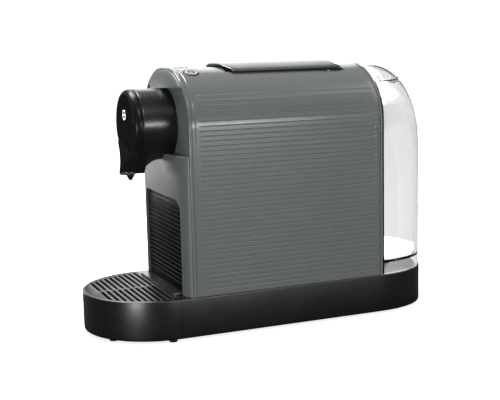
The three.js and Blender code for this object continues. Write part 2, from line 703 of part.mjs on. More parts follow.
function addLever() {
  const knuckle = 4;
  const nose = 12;
  const plate = join(
    crownPlate(LEVER_HALF, 0.5, 2.4, LEVER_FRONT_Y + nose, LEVER_REAR_Y),
    crownPlate(LEVER_HALF, 1.4, 2.2, LEVER_FRONT_Y, LEVER_FRONT_Y + nose + 0.5),
  );
  const lugs = [-1, 1].map((side) => {
    const span = spanOn(side, 17.2, 21);
    const eye = rod('x', knuckle, ...span, PIVOT_Y, PIVOT_Z, 20);
    const web = box(span, [PIVOT_Y - knuckle, PIVOT_Y + knuckle - 1], [PIVOT_Z, CROWN_Z + 0.6]);
    return join(eye, web);
  });
  const gearX = [-GEAR_HALF_WIDTH, GEAR_HALF_WIDTH];
  const sectorSpan = box(ALL, [PIVOT_Y - 8, PIVOT_Y + 30], [PIVOT_Z - 30, PIVOT_Z]);
  const sector = join(
    gearSolid(SECTOR_TEETH, false, GEAR_HALF_WIDTH, PIVOT_Y, PIVOT_Z).intersect(sectorSpan),
    box(gearX, [PIVOT_Y - 14, PIVOT_Y + 3], [PIVOT_Z - 2, CROWN_Z + 1]),
  );
  const bore = rod('x', LEVER_PIN_RADIUS + 0.15, -30, 30, PIVOT_Y, PIVOT_Z, 20);
  add('lever_handle', cut(join(plate, ...lugs, sector), bore), 'gloss');
  add('lever_pin', rod('x', LEVER_PIN_RADIUS, -22, 22, PIVOT_Y, PIVOT_Z, 20), 'steel');
}

function addLeverBed() {
  const floor = [BED_BOTTOM, BED_TOP];
  const earRadius = 3.6;
  const ears = [-1, 1].map((side) => {
    const span = spanOn(side, 12.6, 16.6);
    const eye = rod('x', earRadius, ...span, PIVOT_Y, PIVOT_Z, 20);
    const post = box(span, [PIVOT_Y - earRadius, PIVOT_Y + earRadius], [BED_BOTTOM, PIVOT_Z]);
    return join(eye, post);
  });
  const cheeks = [-1, 1].map((side) => (
    box(spanOn(side, 4.4, 7.4), [PIVOT_Y - 7, PIVOT_Y + 7], [IDLER_Z - 5, BED_TOP])
  ));
  const bed = cut(
    join(box([-45, 45], [-52, 99], floor), ...ears, ...cheeks),
    box([-CHUTE.x, CHUTE.x], [CHUTE.front, CHUTE.rear], ALL),
    box([-4, 4], [PIVOT_Y - 19.5, PIVOT_Y + 18.8], [BED_BOTTOM - 13, BED_TOP + 5]),
    rod('x', LEVER_PIN_RADIUS + GAP, -30, 30, PIVOT_Y, PIVOT_Z, 20),
    rod('x', IDLER_PIN_RADIUS + GAP, -30, 30, PIVOT_Y, IDLER_Z, 16),
  );
  add('lever_bed', bed, 'black');
}

function addChute() {
  const half = CHUTE.x + CHUTE.wall;
  const outside = box([-half, half], [CHUTE.front - CHUTE.wall, CHUTE.rear + CHUTE.wall],
    [BED_BOTTOM - 10.2, BED_BOTTOM - GAP]);
  const inside = box([-CHUTE.x, CHUTE.x], [CHUTE.front, CHUTE.rear], ALL);
  add('capsule_chute', outside.subtract(inside), 'inner');
}

function addIdler() {
  const gear = gearSolid(IDLER_TEETH, true, GEAR_HALF_WIDTH, PIVOT_Y, IDLER_Z);
  const bore = rod('x', IDLER_PIN_RADIUS + 0.15, -10, 10, PIVOT_Y, IDLER_Z, 16);
  add('idler_gear', gear.subtract(bore), 'white');
  add('idler_pin', rod('x', IDLER_PIN_RADIUS, -7.4, 7.4, PIVOT_Y, IDLER_Z, 16), 'steel');
}

const RAIL_XS = { left: -RAIL_X, right: RAIL_X };
const YOKE_Z = [DRUM_Z - 8, DRUM_Z + 8];

function cutRailHoles(solid, play, from, to) {
  const holes = Object.values(RAIL_XS)
    .map((x) => rod('y', RAIL_RADIUS + play, from, to, x, DRUM_Z, 16));
  return cut(solid, ...holes);
}

function addCarriage() {
  const rackStart = PIVOT_Y - 29;
  const rackEnd = PIVOT_Y + 5;
  const rackHalf = 4;
  const pitch = Math.PI * GEAR_MODULE;
  const root = RACK_Z - GEAR_ROOT * GEAR_MODULE;
  const tip = RACK_Z + GEAR_TIP * GEAR_MODULE;
  let carriage = join(
    rod('y', CARRIAGE_RADIUS, CARRIAGE_FRONT_Y, -22, 0, DRUM_Z),
    box([-YOKE_HALF, YOKE_HALF], [-40, -24], YOKE_Z),
    box([-7, 7], [-26, -16], [DRUM_Z, root]),
    box([-rackHalf, rackHalf], [-26, rackEnd], [root - 5, root]),
  );
  const foot = root - 0.1;
  const corners = [[-TOOTH_ROOT, foot], [TOOTH_ROOT, foot], [TOOTH_TIP, tip], [-TOOTH_TIP, tip]];
  for (let y = PIVOT_Y + pitch / 2; y > rackStart; y -= pitch) {
    const tooth = corners.map(([share, z]) => new THREE.Vector2(y + share * pitch, z));
    carriage = carriage.add(prism('x', tooth, -rackHalf, rackHalf));
  }
  add('brew_carriage', cutRailHoles(carriage, 0.2, -60, 0), 'white');
}

function addChamber() {
  const portZ = DRUM_Z - 12;
  const chamber = cut(
    join(
      rod('y', CHAMBER_RADIUS, -120, -50, 0, DRUM_Z),
      rod('y', 4.5, -126, -119, 0, portZ, 16),
      box([-YOKE_HALF, YOKE_HALF], [-62, -52], YOKE_Z),
    ),
    rod('y', CARRIAGE_RADIUS + 1, -80, -40, 0, DRUM_Z),
    rod('y', 2, -140, -70, 0, portZ, 12),
  );
  add('brew_chamber', cutRailHoles(chamber, GAP, -58, -40), 'inner');
}

function addRails() {
  for (const [side, x] of Object.entries(RAIL_XS)) {
    add(`guide_rail_${side}`, rod('y', RAIL_RADIUS, -57.5, 32, x, DRUM_Z), 'steel');
  }
}

function addBrewFrame() {
  const long = [FRAME_FRONT_Y, FRAME_REAR_Y];
  const across = [-FRAME_HALF, FRAME_HALF];
  const walls = [-1, 1].map((side) => (
    box(spanOn(side, FRAME_HALF - FRAME_WALL, FRAME_HALF), long, [FRAME_BOTTOM, FRAME_TOP])
  ));
  const frame = cut(
    join(
      ...walls,
      box(across, [28, 34], [196, 208]),
      box(across, long, [FRAME_BOTTOM, FRAME_BOTTOM + 3]),
    ),
    box([-26, 26], [-60, -18], [130, 150]),
    box([-8, 8], [20, 40], [203, 215]),
  );
  add('brew_frame', cutRailHoles(frame, GAP, 0, 33), 'inner');
}

function hose(points) {
  const stops = points.map((point) => new THREE.Vector3(...point));
  const path = new THREE.CatmullRomCurve3(stops, false, 'centripetal');
  const section = new THREE.Shape(circle(HOSE_RADIUS, 0, 0, 8));
  const options = { steps: 15, bevelEnabled: false, extrudePath: path };
  return toSolid(new THREE.ExtrudeGeometry(section, options));
}

function addPump() {
  const { x, z, radius, port } = PUMP;
  const pump = join(
    rod('y', radius, 0, 62, x, z),
    box([x - radius - 2, x + radius + 2], [14, 46], [z - 20, z + 20]),
    rod('y', port, -14, 1, x, z),
    rod('y', port, 61, 72, x, z),
  );
  add('pump', pump, 'brass');
}

function addHeater() {
  const { x, outletZ, inletZ, port } = HEATER;
  const block = join(
    box([x - 23, x + 23], [-14, 62], [66, 122]),
    rod('y', port, 60, 70, x, outletZ),
    rod('y', port, -24, -12, x, inletZ),
  );
  const bore = rod('y', 2, -30, -16, x, inletZ, 12);
  add('thermoblock', block.subtract(bore), 'steel');
}

function addFlowMeter() {
  const { x, y, z, radius, port } = METER;
  const meter = join(
    rod('z', radius, z - 8, z + 8, x, y, 24),
    rod('y', port, y - radius - 4, y - radius + 2, x, z, 12),
    rod('x', port, x - radius - 4, x - radius + 2, y, z, 12),
  );
  add('flow_meter', meter, 'white');
}

function addHoses() {
  const fromMeter = [[15.4, METER.y, METER.z], [4, METER.y, METER.z], [-14, 91, 62]];
  const intoPump = [[-30, 90, 76], [PUMP.x, 82, PUMP.z], [PUMP.x, 72.4, PUMP.z]];
  add('hose_inlet', hose([...fromMeter, ...intoPump]), 'silicone');
  const fromPump = [[PUMP.x, -14.8, PUMP.z], [PUMP.x, -18, 82.4], [-28, -19, 96], [-4, -17, 128]];
  const overHeater = [[22, 0, 132], [30, 40, 132], [35, 66, 131], [HEATER.x, 82, 118]];
  const intoHeater = [[HEATER.x, 82, 88], [HEATER.x, 75, HEATER.outletZ], [HEATER.x, 70.6, HEATER.outletZ]];
  add('hose_pressure', hose([...fromPump, ...overHeater, ...intoHeater]), 'silicone');
}

const TANK_FOOT = BASE_TOP + 2 * GAP;
const LID_BORE = rod('x', LID_PIN_RADIUS + 0.1, -30, 30, LID_PIVOT_Y, LID_PIVOT_Z, 16);

function addTank() {
  const above = box(ALL, ALL, [TANK_SPLIT_Z, FAR]);
  const floorSlab = box(ALL, ALL, [TANK_FLOOR_Z - 3, TANK_FLOOR_Z]);
  const hollow = rearSolid(TANK_WALL, TANK_FRONT_Y + TANK_WALL, 0).subtract(floorSlab);
  const shell = cut(rearSolid(0, TANK_FRONT_Y, TANK_FOOT), above, hollow);
  const shoulder = archSolid(TANK_WALL + 1.2, TANK_FRONT_Y + 0.4, TANK_FRONT_Y + TANK_WALL)
    .intersect(box([-56, 56], ALL, [TANK_SPLIT_Z - 4, TANK_SPLIT_Z + 7.4]));
  const earX = [-5, 5];
  const ear = join(
    rod('x', LID_KNUCKLE - 0.1, ...earX, LID_PIVOT_Y, LID_PIVOT_Z, 16),
    box(earX, [TANK_FRONT_Y + 0.4, LID_PIVOT_Y + 1.6], [TANK_SPLIT_Z - 0.6, LID_PIVOT_Z]),
  );
  const valveHole = rod('z', VALVE_RADIUS + GAP, 50, 62, 0, VALVE_Y);
  add('water_tank', cut(join(shell, shoulder, ear), valveHole, LID_BORE), 'clear');
}

function addLid() {
  const below = box(ALL, ALL, [-FAR, TANK_SPLIT_Z + GAP]);
  const outer = rearSolid(0, TANK_FRONT_Y, TANK_FOOT);
  const inner = rearSolid(TANK_WALL, TANK_FRONT_Y - 5, 0);
  const knuckles = [-1, 1].map((side) => {
    const span = spanOn(side, 5.6, 9.6);
    const eye = rod('x', LID_KNUCKLE, ...span, LID_PIVOT_Y, LID_PIVOT_Z, 16);
    const web = box(span, [LID_PIVOT_Y, LID_PIVOT_Y + LID_KNUCKLE], [LID_PIVOT_Z - 1, LID_PIVOT_Z + 1.6]);
    return join(eye, web);
  });
  const tab = box([-13, 13], [157, 166], [TANK_SPLIT_Z + GAP, TANK_SPLIT_Z + 2.8]);
  const frontEdge = box(ALL, [TANK_FRONT_Y - 1, LID_PIVOT_Y], [LID_PIVOT_Z, FAR])
    .subtract(rod('x', LID_KNUCKLE, -60, 60, LID_PIVOT_Y, LID_PIVOT_Z, 24));
  const earNotch = box([-5.3, 5.3], [TANK_FRONT_Y - 1, LID_PIVOT_Y + LID_KNUCKLE + 0.4], [245, FAR]);
  const cover = cut(outer, below, inner, frontEdge, earNotch);
  add('tank_lid', cut(join(cover, ...knuckles, tab), LID_BORE), 'clear');
  const pin = rod('x', LID_PIN_RADIUS, -9.4, 9.4, LID_PIVOT_Y, LID_PIVOT_Z);
  add('tank_lid_pin', pin, 'steel');
}

function addValve() {
  const top = TANK_FLOOR_Z + 3;
  const valve = cut(
    join(
      rod('z', VALVE_RADIUS, BASE_TOP + 5, top, 0, VALVE_Y, 20),
      rod('z', VALVE_FLANGE, TANK_FLOOR_Z + GAP, top, 0, VALVE_Y, 20),
    ),
    rod('z', 4.4, 54, 70, 0, VALVE_Y),
    rod('z', 2.6, 40, 60, 0, VALVE_Y),
  );
  add('tank_valve', valve, 'black');
  const stem = rod('z', 2.2, BASE_TOP + 5.4, 56, 0, VALVE_Y, 12);
  const disc = rod('z', 3.9, 54.4, TANK_FLOOR_Z, 0, VALVE_Y);
  add('valve_plunger', join(stem, disc), 'white');
}

addBaseHousing();
addBasePlate();
addFeet('base_foot', 9, [[-46, -82], [46, -82], [-46, 108], [46, 108]], 20);
addCordGland();
addTankDock();
addDripTray();
addFeet('tray_foot', 4, [[-32.5, -166], [32.5, -166], [-63, -115], [63, -115]], 12);
addDripGrate();
addCapsuleContainer();
addFrontHousing();
addShell();
addBulkhead();
addHeadBody();
addHeadCap();
addNozzle();
addBadge();
addControls();
addLever();
addLeverBed();
addChute();
addIdler();
addCarriage();
addChamber();
addRails();
addBrewFrame();
addPump();
addHeater();
addFlowMeter();
addHoses();
addTank();
addLid();
addValve();

export default machine;
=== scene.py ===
"""Looks for the pod coffee machine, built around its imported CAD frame.

Lengths inside this script are millimetres in the frame's own axes: +Z up, -Y towards the spout,
x = 0 the mid-plane. make_mesh() turns them into metres. Sizes come from the CAD nodes' boxes.
"""

import math

import bmesh
import bpy
from mathutils import Matrix, Vector


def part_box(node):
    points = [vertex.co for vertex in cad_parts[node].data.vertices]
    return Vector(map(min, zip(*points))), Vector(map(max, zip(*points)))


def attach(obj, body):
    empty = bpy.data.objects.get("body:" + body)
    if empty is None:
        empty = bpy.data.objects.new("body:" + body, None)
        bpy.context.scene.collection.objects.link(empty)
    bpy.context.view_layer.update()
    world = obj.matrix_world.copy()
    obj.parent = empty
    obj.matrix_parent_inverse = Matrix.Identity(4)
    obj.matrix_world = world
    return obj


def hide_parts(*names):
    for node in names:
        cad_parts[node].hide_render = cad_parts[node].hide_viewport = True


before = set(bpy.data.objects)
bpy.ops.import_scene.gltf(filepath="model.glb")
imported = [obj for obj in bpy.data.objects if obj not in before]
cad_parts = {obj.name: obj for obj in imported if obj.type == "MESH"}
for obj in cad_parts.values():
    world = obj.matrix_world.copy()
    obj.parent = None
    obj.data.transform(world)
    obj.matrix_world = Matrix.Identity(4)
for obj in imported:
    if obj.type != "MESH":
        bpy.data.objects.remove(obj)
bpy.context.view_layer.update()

MM = 0.001


def low(node):
    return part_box(node)[0] / MM


def high(node):
    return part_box(node)[1] / MM


def middle_of(node):
    return (low(node) + high(node)) / 2


# --- Driving dimensions, read from the frame ---

SHELL_LOW, SHELL_HIGH = low("outer_shell"), high("outer_shell")
ARCH_HALF = SHELL_HIGH.x
CROWN_Z = SHELL_HIGH.z
FOOT_Z = SHELL_LOW.z
SHELL_FRONT_Y, SHELL_REAR_Y = SHELL_LOW.y, SHELL_HIGH.y
SHOULDER_X, SHOULDER_Z = 62.0, 56.0
SHELL_WALL = 2.4

HOUSING_FRONT_Y = low("front_housing").y
BULGE_HALF = high("front_housing").x
BULGE_POWER = 2.6
BULGE_SHRINK_Z = 178.0
RECESS_BOTTOM, RECESS_TOP = 177.5, 243.2
RECESS_FLOOR_Y = SHELL_FRONT_Y - 0.5

DRUM_LOW, DRUM_HIGH = low("brew_head_body"), high("brew_head_body")
DRUM_RADIUS = 35.1
DRUM_Z = DRUM_HIGH.z - DRUM_RADIUS
DRUM_FRONT_Y = DRUM_LOW.y
CAP_FRONT_Y = high("emblem_badge").y + 0.3
SPOUT_HALF = 8.4
SPOUT_Y = -135.7
SPOUT_Z = low("brew_head_cap").z

BASE_HALF = high("base_housing").x
BASE_TOP = high("base_housing").z
BASE_BOTTOM = low("base_housing").z
FRONT_Y, REAR_Y = low("drip_tray").y, high("base_housing").y
FRONT_RADIUS, REAR_RADIUS, REAR_POWER = 73.2, 80.2, 2.4
TRAY_SPLIT_Y = low("base_housing").y - 0.3
BASE_WALL = 2.6

BIN_LOW, BIN_HIGH = low("capsule_container"), high("capsule_container")
BIN_HALF = BIN_HIGH.x
BIN_TOP = BIN_HIGH.z
BIN_FRONT_Y = BIN_LOW.y + 0.6
BIN_CORNER = 14.0

LEVER_LOW, LEVER_HIGH = low("lever_handle"), high("lever_handle")
LEVER_HALF = LEVER_HIGH.x - 0.5
LEVER_FRONT_Y, LEVER_REAR_Y = LEVER_LOW.y, 81.5

TANK_LOW, TANK_HIGH = low("water_tank"), high("water_tank")
TANK_TIP = 0.4
TANK_FRONT_Y, TANK_REAR_Y = TANK_LOW.y, TANK_HIGH.y + TANK_TIP
TANK_FOOT_Z = TANK_LOW.z
TANK_RADIUS = REAR_RADIUS - 1
TANK_PROFILE, TANK_PROFILE_POWER = 92.4, 4.2
TANK_WALL = 2.5
TANK_FLOOR_Z = 57.0
TANK_SPLIT_Z = low("tank_lid").z - 0.3
WATER_Z = 218.0


# --- Meshes ---

def make_mesh(name, points, faces, sharp_deg=35):
    mesh = bpy.data.meshes.new(name)
    mesh.from_pydata([Vector(p) * MM for p in points], [], faces)
    piece = bpy.data.objects.new(name, mesh)
    bpy.context.scene.collection.objects.link(piece)
    tidy(piece, sharp_deg)
    return piece


def tidy(piece, sharp_deg=35):
    """Merges doubled points, turns the faces outwards and shades smooth but for sharp edges."""
    bm = bmesh.new()
    bm.from_mesh(piece.data)
    bmesh.ops.remove_doubles(bm, verts=bm.verts, dist=1e-6)
    bmesh.ops.dissolve_degenerate(bm, edges=bm.edges, dist=1e-7)
    bmesh.ops.recalc_face_normals(bm, faces=bm.faces)
    bm.to_mesh(piece.data)
    bm.free()
    piece.data.shade_smooth()
    piece.data.set_sharp_from_angle(angle=math.radians(sharp_deg))


def loft(rings, closed_path=False, capped=True):
    """Points and quads of a skin through rings that all have the same number of points."""
    count = len(rings[0])
    points = [p for ring in rings for p in ring]
    steps = len(rings) if closed_path else len(rings) - 1
    faces = []
    for r in range(steps):
        a, b = r * count, (r + 1) % len(rings) * count
        for i in range(count):
            j = (i + 1) % count
            faces.append((a + i, a + j, b + j, b + i))
    if capped and not closed_path:
        faces.append(tuple(range(count))[::-1])
        faces.append(tuple(range((len(rings) - 1) * count, len(rings) * count)))
    return points, faces


def sheet(rows):
    """Points and quads of an open grid."""
    wide = len(rows[0])
    points = [p for row in rows for p in row]
    faces = []
    for r in range(len(rows) - 1):
        for i in range(wide - 1):
            a = r * wide + i
            faces.append((a, a + 1, a + wide + 1, a + wide))
    return points, faces


def prism(outline, low_end, high_end, axis="z"):
    """Closed outline of (u, v) points, run along an axis: x takes (y, z), y (x, z) and z (x, y)."""
    place = {
        "x": lambda u, v, w: (w, u, v),
        "y": lambda u, v, w: (u, w, v),
        "z": lambda u, v, w: (u, v, w),
    }[axis]
    return loft([[place(u, v, w) for u, v in outline] for w in (low_end, high_end)])


def box_outline(u0, u1, v0, v1):
    return [(u0, v0), (u1, v0), (u1, v1), (u0, v1)]


def circle(radius, u=0.0, v=0.0, sides=64):
    turn = [2 * math.pi * i / sides for i in range(sides)]
    return [(u + radius * math.cos(a), v + radius * math.sin(a)) for a in turn]


def lathe(profile, centre, axis="z", sides=64):
    """(radius, height) profile turned about a line through centre: the profile is a closed loop."""
    rings = []
    for a in [2 * math.pi * i / sides for i in range(sides)]:
        c, s = math.cos(a), math.sin(a)
        turned = {
            "z": lambda r, h: (centre[0] + r * c, centre[1] + r * s, centre[2] + h),
            "y": lambda r, h: (centre[0] + r * c, centre[1] + h, centre[2] + r * s),
        }[axis]
        rings.append([turned(r, h) for r, h in profile])
    return loft(rings, closed_path=True)


def joined(solids):
    """Points and faces of several solids as one mesh."""
    points, faces = [], []
    for some_points, some_faces in solids:
        start = len(points)
        points += some_points
        faces += [tuple(i + start for i in face) for face in some_faces]
    return points, faces


def settle(piece):
    """Replaces a piece's mesh by the one its modifiers give."""
    graph = bpy.context.evaluated_depsgraph_get()
    mesh = bpy.data.meshes.new_from_object(piece.evaluated_get(graph))
    piece.modifiers.clear()
    old = piece.data
    piece.data = mesh
    mesh.name = piece.name
    bpy.data.meshes.remove(old)


def apply_tool(piece, tool, operation="DIFFERENCE"):
    """Cuts another piece out of a piece, or joins or intersects it, and uses it up."""
    step = piece.modifiers.new("carve", "BOOLEAN")
    step.operation = operation
    step.solver = "EXACT"
    step.object = tool
    settle(piece)
    bpy.data.objects.remove(tool)


def carve(piece, *cutters, operation="DIFFERENCE", sharp_deg=35):
    """Cuts (points, faces) solids out of a piece, or joins or intersects them."""
    for points, faces in cutters:
        apply_tool(piece, make_mesh("cutter", points, faces), operation)
    tidy(piece, sharp_deg)


def soften(piece, width, angle_deg=40, segments=2, sharp_deg=50):
    """Rounds a piece's edges that are sharper than an angle."""
    step = piece.modifiers.new("soften", "BEVEL")
    step.width = width * MM
    step.segments = segments
    step.limit_method = "ANGLE"
    step.angle_limit = math.radians(angle_deg)
    step.use_clamp_overlap = True
    settle(piece)
    piece.data.shade_smooth()
    piece.data.set_sharp_from_angle(angle=math.radians(sharp_deg))


def dress(piece, material, body, slot, *nodes):
    """Gives a piece its material and its body, and hides the CAD nodes it stands for. The slot argument
    is not used.
    """
    piece.data.materials.clear()
    piece.data.materials.append(material)
    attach(piece, body)
    if nodes:
        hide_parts(*nodes)
    return piece


def spread(start, end, count):
    return [start + (end - start) * i / (count - 1) for i in range(count)]


# --- Materials ---

def shader(name):
    material = bpy.data.materials.new(name)
    material.use_nodes = True
    tree = material.node_tree
    return material, tree, tree.nodes["Principled BSDF"]


def noise(tree, scale, detail=3.0, stretch=(1, 1, 1)):
    """Noise in the frame's own metres, drawn out along an axis by a small stretch there."""
    where = tree.nodes.new("ShaderNodeTexCoord")
    mapping = tree.nodes.new("ShaderNodeMapping")
    mapping.inputs["Scale"].default_value = stretch
    texture = tree.nodes.new("ShaderNodeTexNoise")
    texture.inputs["Scale"].default_value = scale
    texture.inputs["Detail"].default_value = detail
    tree.links.new(where.outputs["Object"], mapping.inputs["Vector"])
    tree.links.new(mapping.outputs["Vector"], texture.inputs["Vector"])
    return texture.outputs["Fac"]


def ramp(tree, value, low_value, high_value):
    """Maps a noise's 0.3 to 0.7 onto two numbers."""
    step = tree.nodes.new("ShaderNodeMapRange")
    step.inputs["From Min"].default_value = 0.3
    step.inputs["From Max"].default_value = 0.7
    step.inputs["To Min"].default_value = low_value
    step.inputs["To Max"].default_value = high_value
    tree.links.new(value, step.inputs["Value"])
    return step.outputs["Result"]


def tinted(tree, value, colour, change):
    """A colour that varies by a share of itself with a noise."""
    mix = tree.nodes.new("ShaderNodeMix")
    mix.data_type = "RGBA"
    mix.inputs["A"].default_value = [c * (1 - change) for c in colour] + [1]
    mix.inputs["B"].default_value = [min(1.0, c * (1 + change)) for c in colour] + [1]
    tree.links.new(ramp(tree, value, 0, 1), mix.inputs["Factor"])
    return mix.outputs["Result"]


def bumped(tree, base, value, distance, strength):
    bump = tree.nodes.new("ShaderNodeBump")
    bump.inputs["Distance"].default_value = distance * MM
    bump.inputs["Strength"].default_value = strength
    tree.links.new(value, bump.inputs["Height"])
    tree.links.new(bump.outputs["Normal"], base.inputs["Normal"])


def moulded(name, colour, roughness, grain=900, depth=0.05, change=0.05, specular=0.5, coat=0.0,
            metallic=0.0, stretch=(1, 1, 1)):
    """Moulded or painted surface: fine texture, broad shifts in colour and in roughness."""
    material, tree, base = shader(name)
    broad = noise(tree, 22, 2)
    tree.links.new(tinted(tree, broad, colour, change), base.inputs["Base Color"])
    worn = ramp(tree, noise(tree, 35, 2), roughness * 0.93, min(1.0, roughness * 1.07))
    tree.links.new(worn, base.inputs["Roughness"])
    bumped(tree, base, noise(tree, grain, 2, stretch), depth, 0.25)
    base.inputs["Specular IOR Level"].default_value = specular
    base.inputs["Metallic"].default_value = metallic
    base.inputs["Coat Weight"].default_value = coat
    base.inputs["Coat Roughness"].default_value = 0.08
    return material


def clear(name, tint, roughness, ior, specular=0.5):
    """Clear plastic or water: it bends what is behind it, and lets the lamps' light through."""
    material, tree, base = shader(name)
    tree.links.new(tinted(tree, noise(tree, 12, 2), tint, 0.01), base.inputs["Base Color"])
    worn = ramp(tree, noise(tree, 30, 3), roughness * 0.6, roughness * 1.4)
    tree.links.new(worn, base.inputs["Roughness"])
    base.inputs["Transmission Weight"].default_value = 1.0
    base.inputs["IOR"].default_value = ior
    base.inputs["Specular IOR Level"].default_value = specular
    through = tree.nodes.new("ShaderNodeBsdfTransparent")
    through.inputs["Color"].default_value = (*tint, 1)
    path = tree.nodes.new("ShaderNodeLightPath")
    mix = tree.nodes.new("ShaderNodeMixShader")
    output = tree.nodes["Material Output"]
    tree.links.new(path.outputs["Is Shadow Ray"], mix.inputs["Fac"])
    tree.links.new(base.outputs["BSDF"], mix.inputs[1])
    tree.links.new(through.outputs["BSDF"], mix.inputs[2])
    tree.links.new(mix.outputs["Shader"], output.inputs["Surface"])
    return material


GREY = (0.115, 0.1235, 0.1255)
SHELL = moulded("grey_shell", GREY, 0.24, grain=1500, depth=0.015, change=0.02, specular=0.42)
HOUSING = moulded("grey_housing", (0.124, 0.136, 0.139), 0.4, grain=1500, depth=0.015, change=0.03,
                  specular=0.35)
# Darker copy of the housing grey, with duller gloss, for the recess ceiling and the flat wall round the
# drum: painted shade where the recess lies in shadow.
RECESS_PAINTED_SHADE = moulded("grey_inner_wall_painted_shade", (0.11, 0.118, 0.122), 0.45, grain=1100, depth=0.03, specular=0.2)
BLACK = moulded("black_base", (0.004, 0.0043, 0.0048), 0.3, grain=1300, depth=0.008, specular=0.75)
RIBBED = moulded("black_ribbed", (0.006, 0.006, 0.0063), 0.4, grain=1300, depth=0.02, specular=0.28)
PANEL = moulded("black_panel", (0.003, 0.003, 0.0032), 0.4, grain=1300, depth=0.02, specular=0.02)
HEAD = moulded("black_head", (0.0075, 0.0075, 0.008), 0.28, grain=1600, depth=0.004, specular=0.5)
RIM = moulded("black_head_rim", (0.0075, 0.0075, 0.008), 0.3, grain=1600, depth=0.004, specular=0.14)
FACE = moulded("black_head_face", (0.0115, 0.0115, 0.012), 0.5, grain=1900, depth=0.05, change=0.12,
               specular=0.0)
# Lever top: a black lighter than the other blacks, a painted sheen standing in for the reflection its
# glossy top shows. The sides and nose get the darker, duller EDGE black.
LEVER_TOP_PAINTED_SHEEN = moulded("black_lever", (0.028, 0.028, 0.029), 0.36, grain=900, depth=0.005, specular=0.9)
EDGE = moulded("black_lever_edge", (0.006, 0.006, 0.0063), 0.4, grain=1200, depth=0.01, specular=0.12)
TRIM = moulded("black_trim", (0.005, 0.005, 0.0053), 0.3, grain=1200, depth=0.02, specular=0.4)
BUTTON = moulded("button_grey", (0.3, 0.31, 0.31), 0.3, grain=1500, depth=0.015, specular=0.5)
GLYPH = moulded("glyph_black", (0.004, 0.004, 0.004), 0.5, grain=1500, depth=0.01, specular=0.2)
MARK = moulded("mark_silver", (0.6, 0.61, 0.62), 0.3, grain=1500, depth=0.01, metallic=0.85)
CHROME = moulded("bright_chrome", (0.86, 0.87, 0.88), 0.1, grain=500, depth=0.006, metallic=1.0)
STEEL = moulded("turned_steel", (0.55, 0.56, 0.57), 0.28, grain=700, depth=0.03, metallic=1.0,
                stretch=(1, 1, 12))
BRASS = moulded("turned_brass", (0.62, 0.45, 0.2), 0.3, grain=700, depth=0.03, metallic=1.0)
CAST = moulded("cast_aluminium", (0.55, 0.56, 0.58), 0.5, grain=420, depth=0.12, metallic=0.9)
RUBBER = moulded("black_rubber", (0.012, 0.012, 0.012), 0.82, grain=500, depth=0.1, specular=0.2)
SILICONE = moulded("milky_silicone", (0.62, 0.6, 0.55), 0.45, grain=300, depth=0.04)
WHITE = moulded("natural_nylon", (0.7, 0.69, 0.64), 0.42, grain=600, depth=0.06)
INNER = moulded("black_nylon", (0.018, 0.018, 0.02), 0.5, grain=600, depth=0.06)
BOARD = moulded("circuit_board", (0.012, 0.09, 0.035), 0.35, grain=180, depth=0.1, change=0.3)
LENS = moulded("lens_dark", (0.02, 0.022, 0.022), 0.12, grain=700, depth=0.01)
CLEAR = clear("clear_plastic", (0.985, 0.99, 0.99), 0.015, 1.46)
WATER = clear("water", (0.88, 0.885, 0.885), 0.004, 1.06)


# --- Outlines shared by several pieces ---

def root_of(value, exponent):
    return math.copysign(abs(value) ** exponent, value)


def superellipse(t, exponent):
    return max(0.0, 1 - t ** exponent) ** (1 / exponent)


def arch_half(z, inset=0.0):
    """Half width of the arch section at a height."""
    foot = CROWN_Z - SHOULDER_Z
    if z <= foot:
        return ARCH_HALF - inset
    s = min(1.0, (z - foot) / (SHOULDER_Z - inset))
    return ARCH_HALF - inset - (SHOULDER_X - inset) * (1 - math.sqrt(1 - s * s))


def crown_height(x):
    s = min(1.0, max(0.0, abs(x) - (ARCH_HALF - SHOULDER_X)) / SHOULDER_X)
    return CROWN_Z - SHOULDER_Z * (1 - math.sqrt(1 - s * s))


def crown_tilt(x):
    s = min(0.999, max(0.0, abs(x) - (ARCH_HALF - SHOULDER_X)) / SHOULDER_X)
    return math.copysign(math.atan2(s * SHOULDER_Z, SHOULDER_X * math.sqrt(1 - s * s)), x)


def base_plan(inset, steps=40):
    half = BASE_HALF - inset
    right = []
    for i in range(steps + 1):
        a = i / steps * math.pi / 2
        right.append((half * math.sin(a),
                      FRONT_Y + inset + (FRONT_RADIUS - inset) * (1 - math.cos(a))))
    for i in range(steps + 1):
        a = i / steps * math.pi / 2
        along = REAR_Y - inset - (REAR_RADIUS - inset) * (1 - root_of(math.sin(a), 2 / REAR_POWER))
        right.append((half * root_of(math.cos(a), 2 / REAR_POWER), along))
    left = [(-x, y) for x, y in right[1:-1][::-1]]
    return right + left


def rounded_rect(half, bottom, top, radius, steps=10):
    """Upright panel outline in (x, z): square below, rounded above."""
    points = [(-half, bottom), (half, bottom)]
    for side in (1, -1):
        for i in range(steps + 1):
            a = math.pi / 2 * i / steps
            turn = a if side == 1 else math.pi / 2 + a
            points.append((side * (half - radius) + radius * math.cos(turn),
                           top - radius + radius * math.sin(turn)))
    return points


def base_loft(levels):
    """Solid on the base's plan, whose inset changes with height: levels are (z, inset)."""
    return loft([[(x, y, z) for x, y in base_plan(inset)] for z, inset in levels])


def fillet_levels(z0, z1, bottom, top, steps=5):
    """Levels of a wall with a rounded foot and a rounded rim."""
    turn = [math.pi / 2 * i / steps for i in range(steps + 1)]
    foot = [(z0 + bottom * (1 - math.cos(a)), bottom * (1 - math.sin(a))) for a in turn]
    rim = [(z1 - top * (1 - math.sin(a)), top * (1 - math.cos(a))) for a in turn]
    return foot + rim


# --- Outer shell: the arch with a beaded front edge and fine flutes along both sides ---

